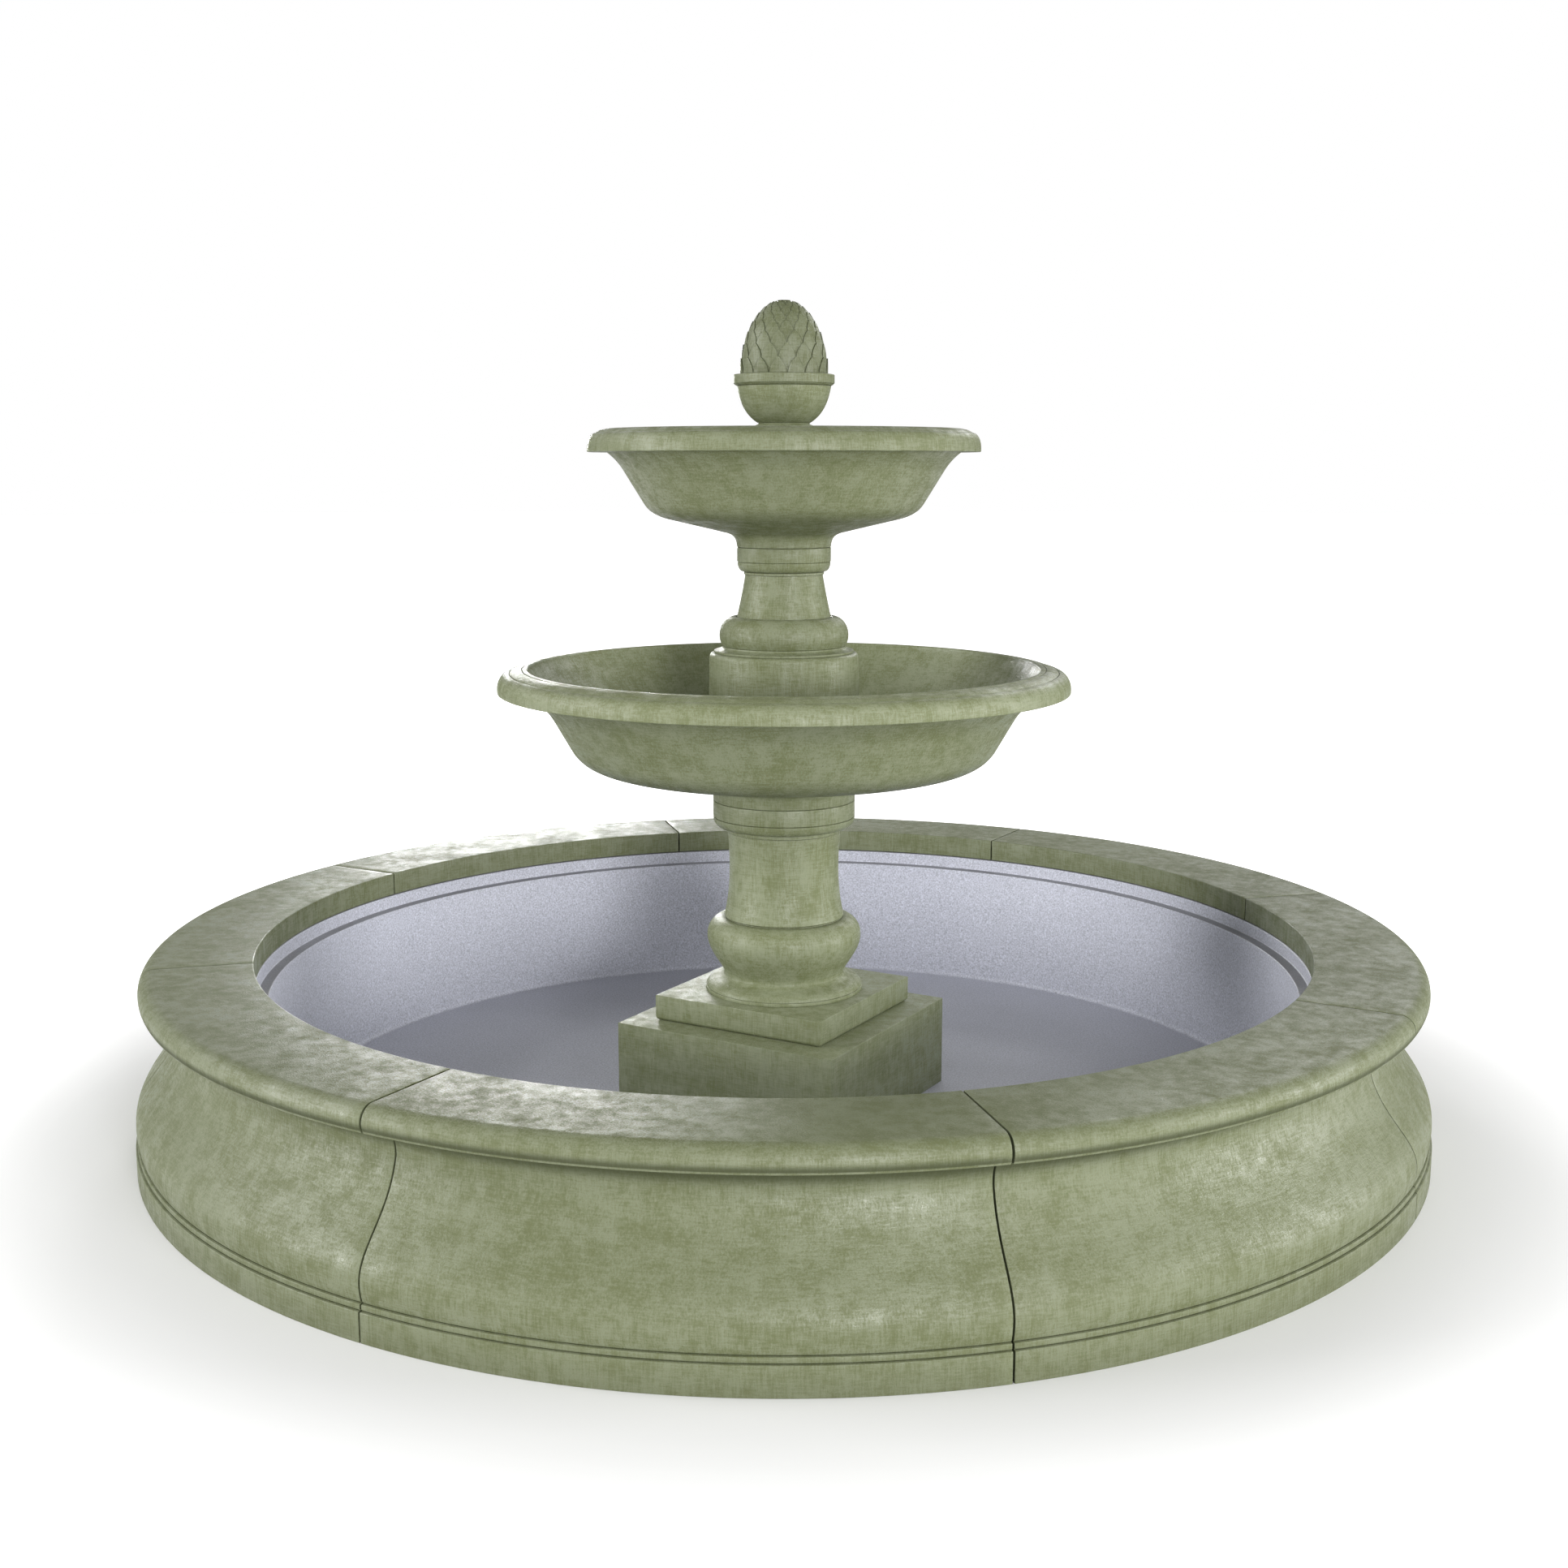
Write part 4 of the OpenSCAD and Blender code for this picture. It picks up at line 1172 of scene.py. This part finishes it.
# Tones of the finial: painted shade on the exposed scaled cone and on its collar, painted light on the cup
# below.
SCALES_PAINTED_SHADE = -0.20
COLLAR_PAINTED_SHADE = -0.06
CUP_PAINTED_LIGHT = 0.14


def scale_row_height(row):
    """Height in millimetres of a row of the lattice: rows close up towards the tip."""
    share = row / SCALE_ROWS
    rise = math.sin(math.pi / 2 * share ** 0.94)
    return CONE_Z + (FINIAL_TOP - 3 - CONE_Z) * rise


def on_cone(angle, z, proud):
    """Point on the cone at an angle and a height in millimetres, raised along its normal."""
    r, step = cone_radius(z), 0.5
    slope = (cone_radius(z + step) - cone_radius(z - step)) / (2 * step)
    away = 1 / math.sqrt(1 + slope * slope)
    out, up = (r + proud * away), (z - proud * slope * away)
    return Vector((math.cos(angle) * out, math.sin(angle) * out, up)) * MM


def towards_rim(share):
    """Moves a place between -1 and 1 out towards its nearer end."""
    return math.copysign(1 - (1 - abs(share)) ** 1.8, share)


def add_scale(bm, crevice, row, column, step):
    """One scale: a crowned shell with a pointed arch for its tip, tilted out towards the tip."""
    pitch = TAU / SCALES_ROUND
    middle = SCALE_TURN + (column + 0.5 * ((row + 1) % 2)) * pitch
    bottom = scale_row_height(max(row - 1, 0)) if row else CONE_Z - 2
    corner, tip = scale_row_height(row), scale_row_height(row + 1)
    grid = bmesh.ops.create_grid(bm, x_segments=6, y_segments=8, size=1)["verts"]
    faces = list({face for vert in grid for face in vert.link_faces})
    shell = bmesh.ops.extrude_face_region(bm, geom=faces, use_keep_orig=True)["geom"]
    outer = [item for item in shell if isinstance(item, bmesh.types.BMVert)]
    thin = 1 - 0.6 * row / SCALE_ROWS
    for vert in outer:
        # Painted shade along the scale's rim.
        vert[crevice] = SCALE_RIM_SHADE if max(abs(vert.co.x), vert.co.y) > 0.99 else 0.0
    for verts, depth in ((outer, 0.0), (grid, SCALE_DEPTH)):
        for vert in verts:
            across, along = towards_rim(vert.co.x), towards_rim(vert.co.y)
            if along >= 0:
                z = corner + (tip - corner) * along
                width = 0.5 * math.cos(math.pi / 2 * along) ** 0.86
            else:
                z = corner + (corner - bottom) * along
                width = 0.5 * (1 + along * 0.35)
            crown = (1 - across * across) * 0.5 * thin
            proud = step * thin * (along - 0.35) + crown
            vert.co = on_cone(middle + across * width * pitch, z, proud - depth)
    # Full painted shade on the sunk underside of the scale.
    for vert in grid:
        vert[crevice] = 1.0
    bmesh.ops.recalc_face_normals(bm, faces=list({face for vert in grid + outer for face in vert.link_faces}))


class FOUNTAIN_OT_finial(bpy.types.Operator):
    """Carves the scaled finial and the post under it"""

    bl_idname = "fountain.finial"
    bl_label = "Finial"

    def execute(self, context):
        step = context.scene.fountain_sizes.scale_step / MM
        post = turned("finial_post", finial_block_outline(), 128)
        place(post, finish_of("cast_stone"), "cast_stone", "finial_block", batch=51.0)
        core = turned("finial_core", finial_outline(2.6), 180)
        bm = bmesh.new()
        bm.from_mesh(core.data)
        bpy.data.objects.remove(core)
        crevice = bm.verts.layers.float.get("crevice")
        for row in range(SCALE_ROWS):
            for column in range(SCALES_ROUND):
                add_scale(bm, crevice, row, column, step)
        cone = new_object("scaled_finial", bm)
        place(cone, finish_of("cast_stone"), "cast_stone", "finial", batch=52.0, tone=SCALES_PAINTED_SHADE)
        tone_below(cone, (CONE_Z - 1) * MM, COLLAR_PAINTED_SHADE)
        tone_below(cone, (CONE_Z - 23) * MM, CUP_PAINTED_LIGHT)
        return {"FINISHED"}


# ---------- water works ----------


class FOUNTAIN_OT_water_works(bpy.types.Operator):
    """Finishes the pump, pipes, valve, drain, straps and seals that stay as the CAD made them"""

    bl_idname = "fountain.water_works"
    bl_label = "Water works"

    def execute(self, context):
        for part in frame["record"]["subparts"]:
            node = frame["nodes"][part["node"]]
            if node.hide_render:
                continue
            node.data.materials.clear()
            node.data.materials.append(finish_of(part["material_slot"]))
        return {"FINISHED"}


# ---------- panel and registration ----------

STEPS = (
    "finishes", "stage", "coping", "wall", "liner", "plinth", "pedestals", "bowls", "finial", "water_works",
)


class FOUNTAIN_PT_sidebar(bpy.types.Panel):
    """Lists the steps that build the fountain"""

    bl_idname = "FOUNTAIN_PT_sidebar"
    bl_label = "Fountain"
    bl_space_type = "VIEW_3D"
    bl_region_type = "UI"
    bl_category = "Fountain"

    def draw(self, context):
        for step in STEPS:
            self.layout.operator("fountain." + step)


CLASSES = (
    FountainFinish,
    FountainSizes,
    FountainStage,
    FOUNTAIN_OT_finishes,
    FOUNTAIN_OT_stage,
    FOUNTAIN_OT_coping,
    FOUNTAIN_OT_wall,
    FOUNTAIN_OT_liner,
    FOUNTAIN_OT_plinth,
    FOUNTAIN_OT_pedestals,
    FOUNTAIN_OT_bowls,
    FOUNTAIN_OT_finial,
    FOUNTAIN_OT_water_works,
    FOUNTAIN_PT_sidebar,
)


def register():
    """Adds the classes and the scene's settings."""
    for kind in CLASSES:
        bpy.utils.register_class(kind)
    bpy.types.Scene.fountain_finish = bpy.props.PointerProperty(type=FountainFinish)
    bpy.types.Scene.fountain_sizes = bpy.props.PointerProperty(type=FountainSizes)
    bpy.types.Scene.fountain_stage = bpy.props.PointerProperty(type=FountainStage)


def unregister():
    """Takes the settings and the classes away."""
    del bpy.types.Scene.fountain_stage
    del bpy.types.Scene.fountain_sizes
    del bpy.types.Scene.fountain_finish
    for kind in reversed(CLASSES):
        bpy.utils.unregister_class(kind)


def main():
    """Builds every piece in order."""
    register()
    for step in STEPS:
        getattr(bpy.ops.fountain, step)()


if __name__ == "__main__":
    main()
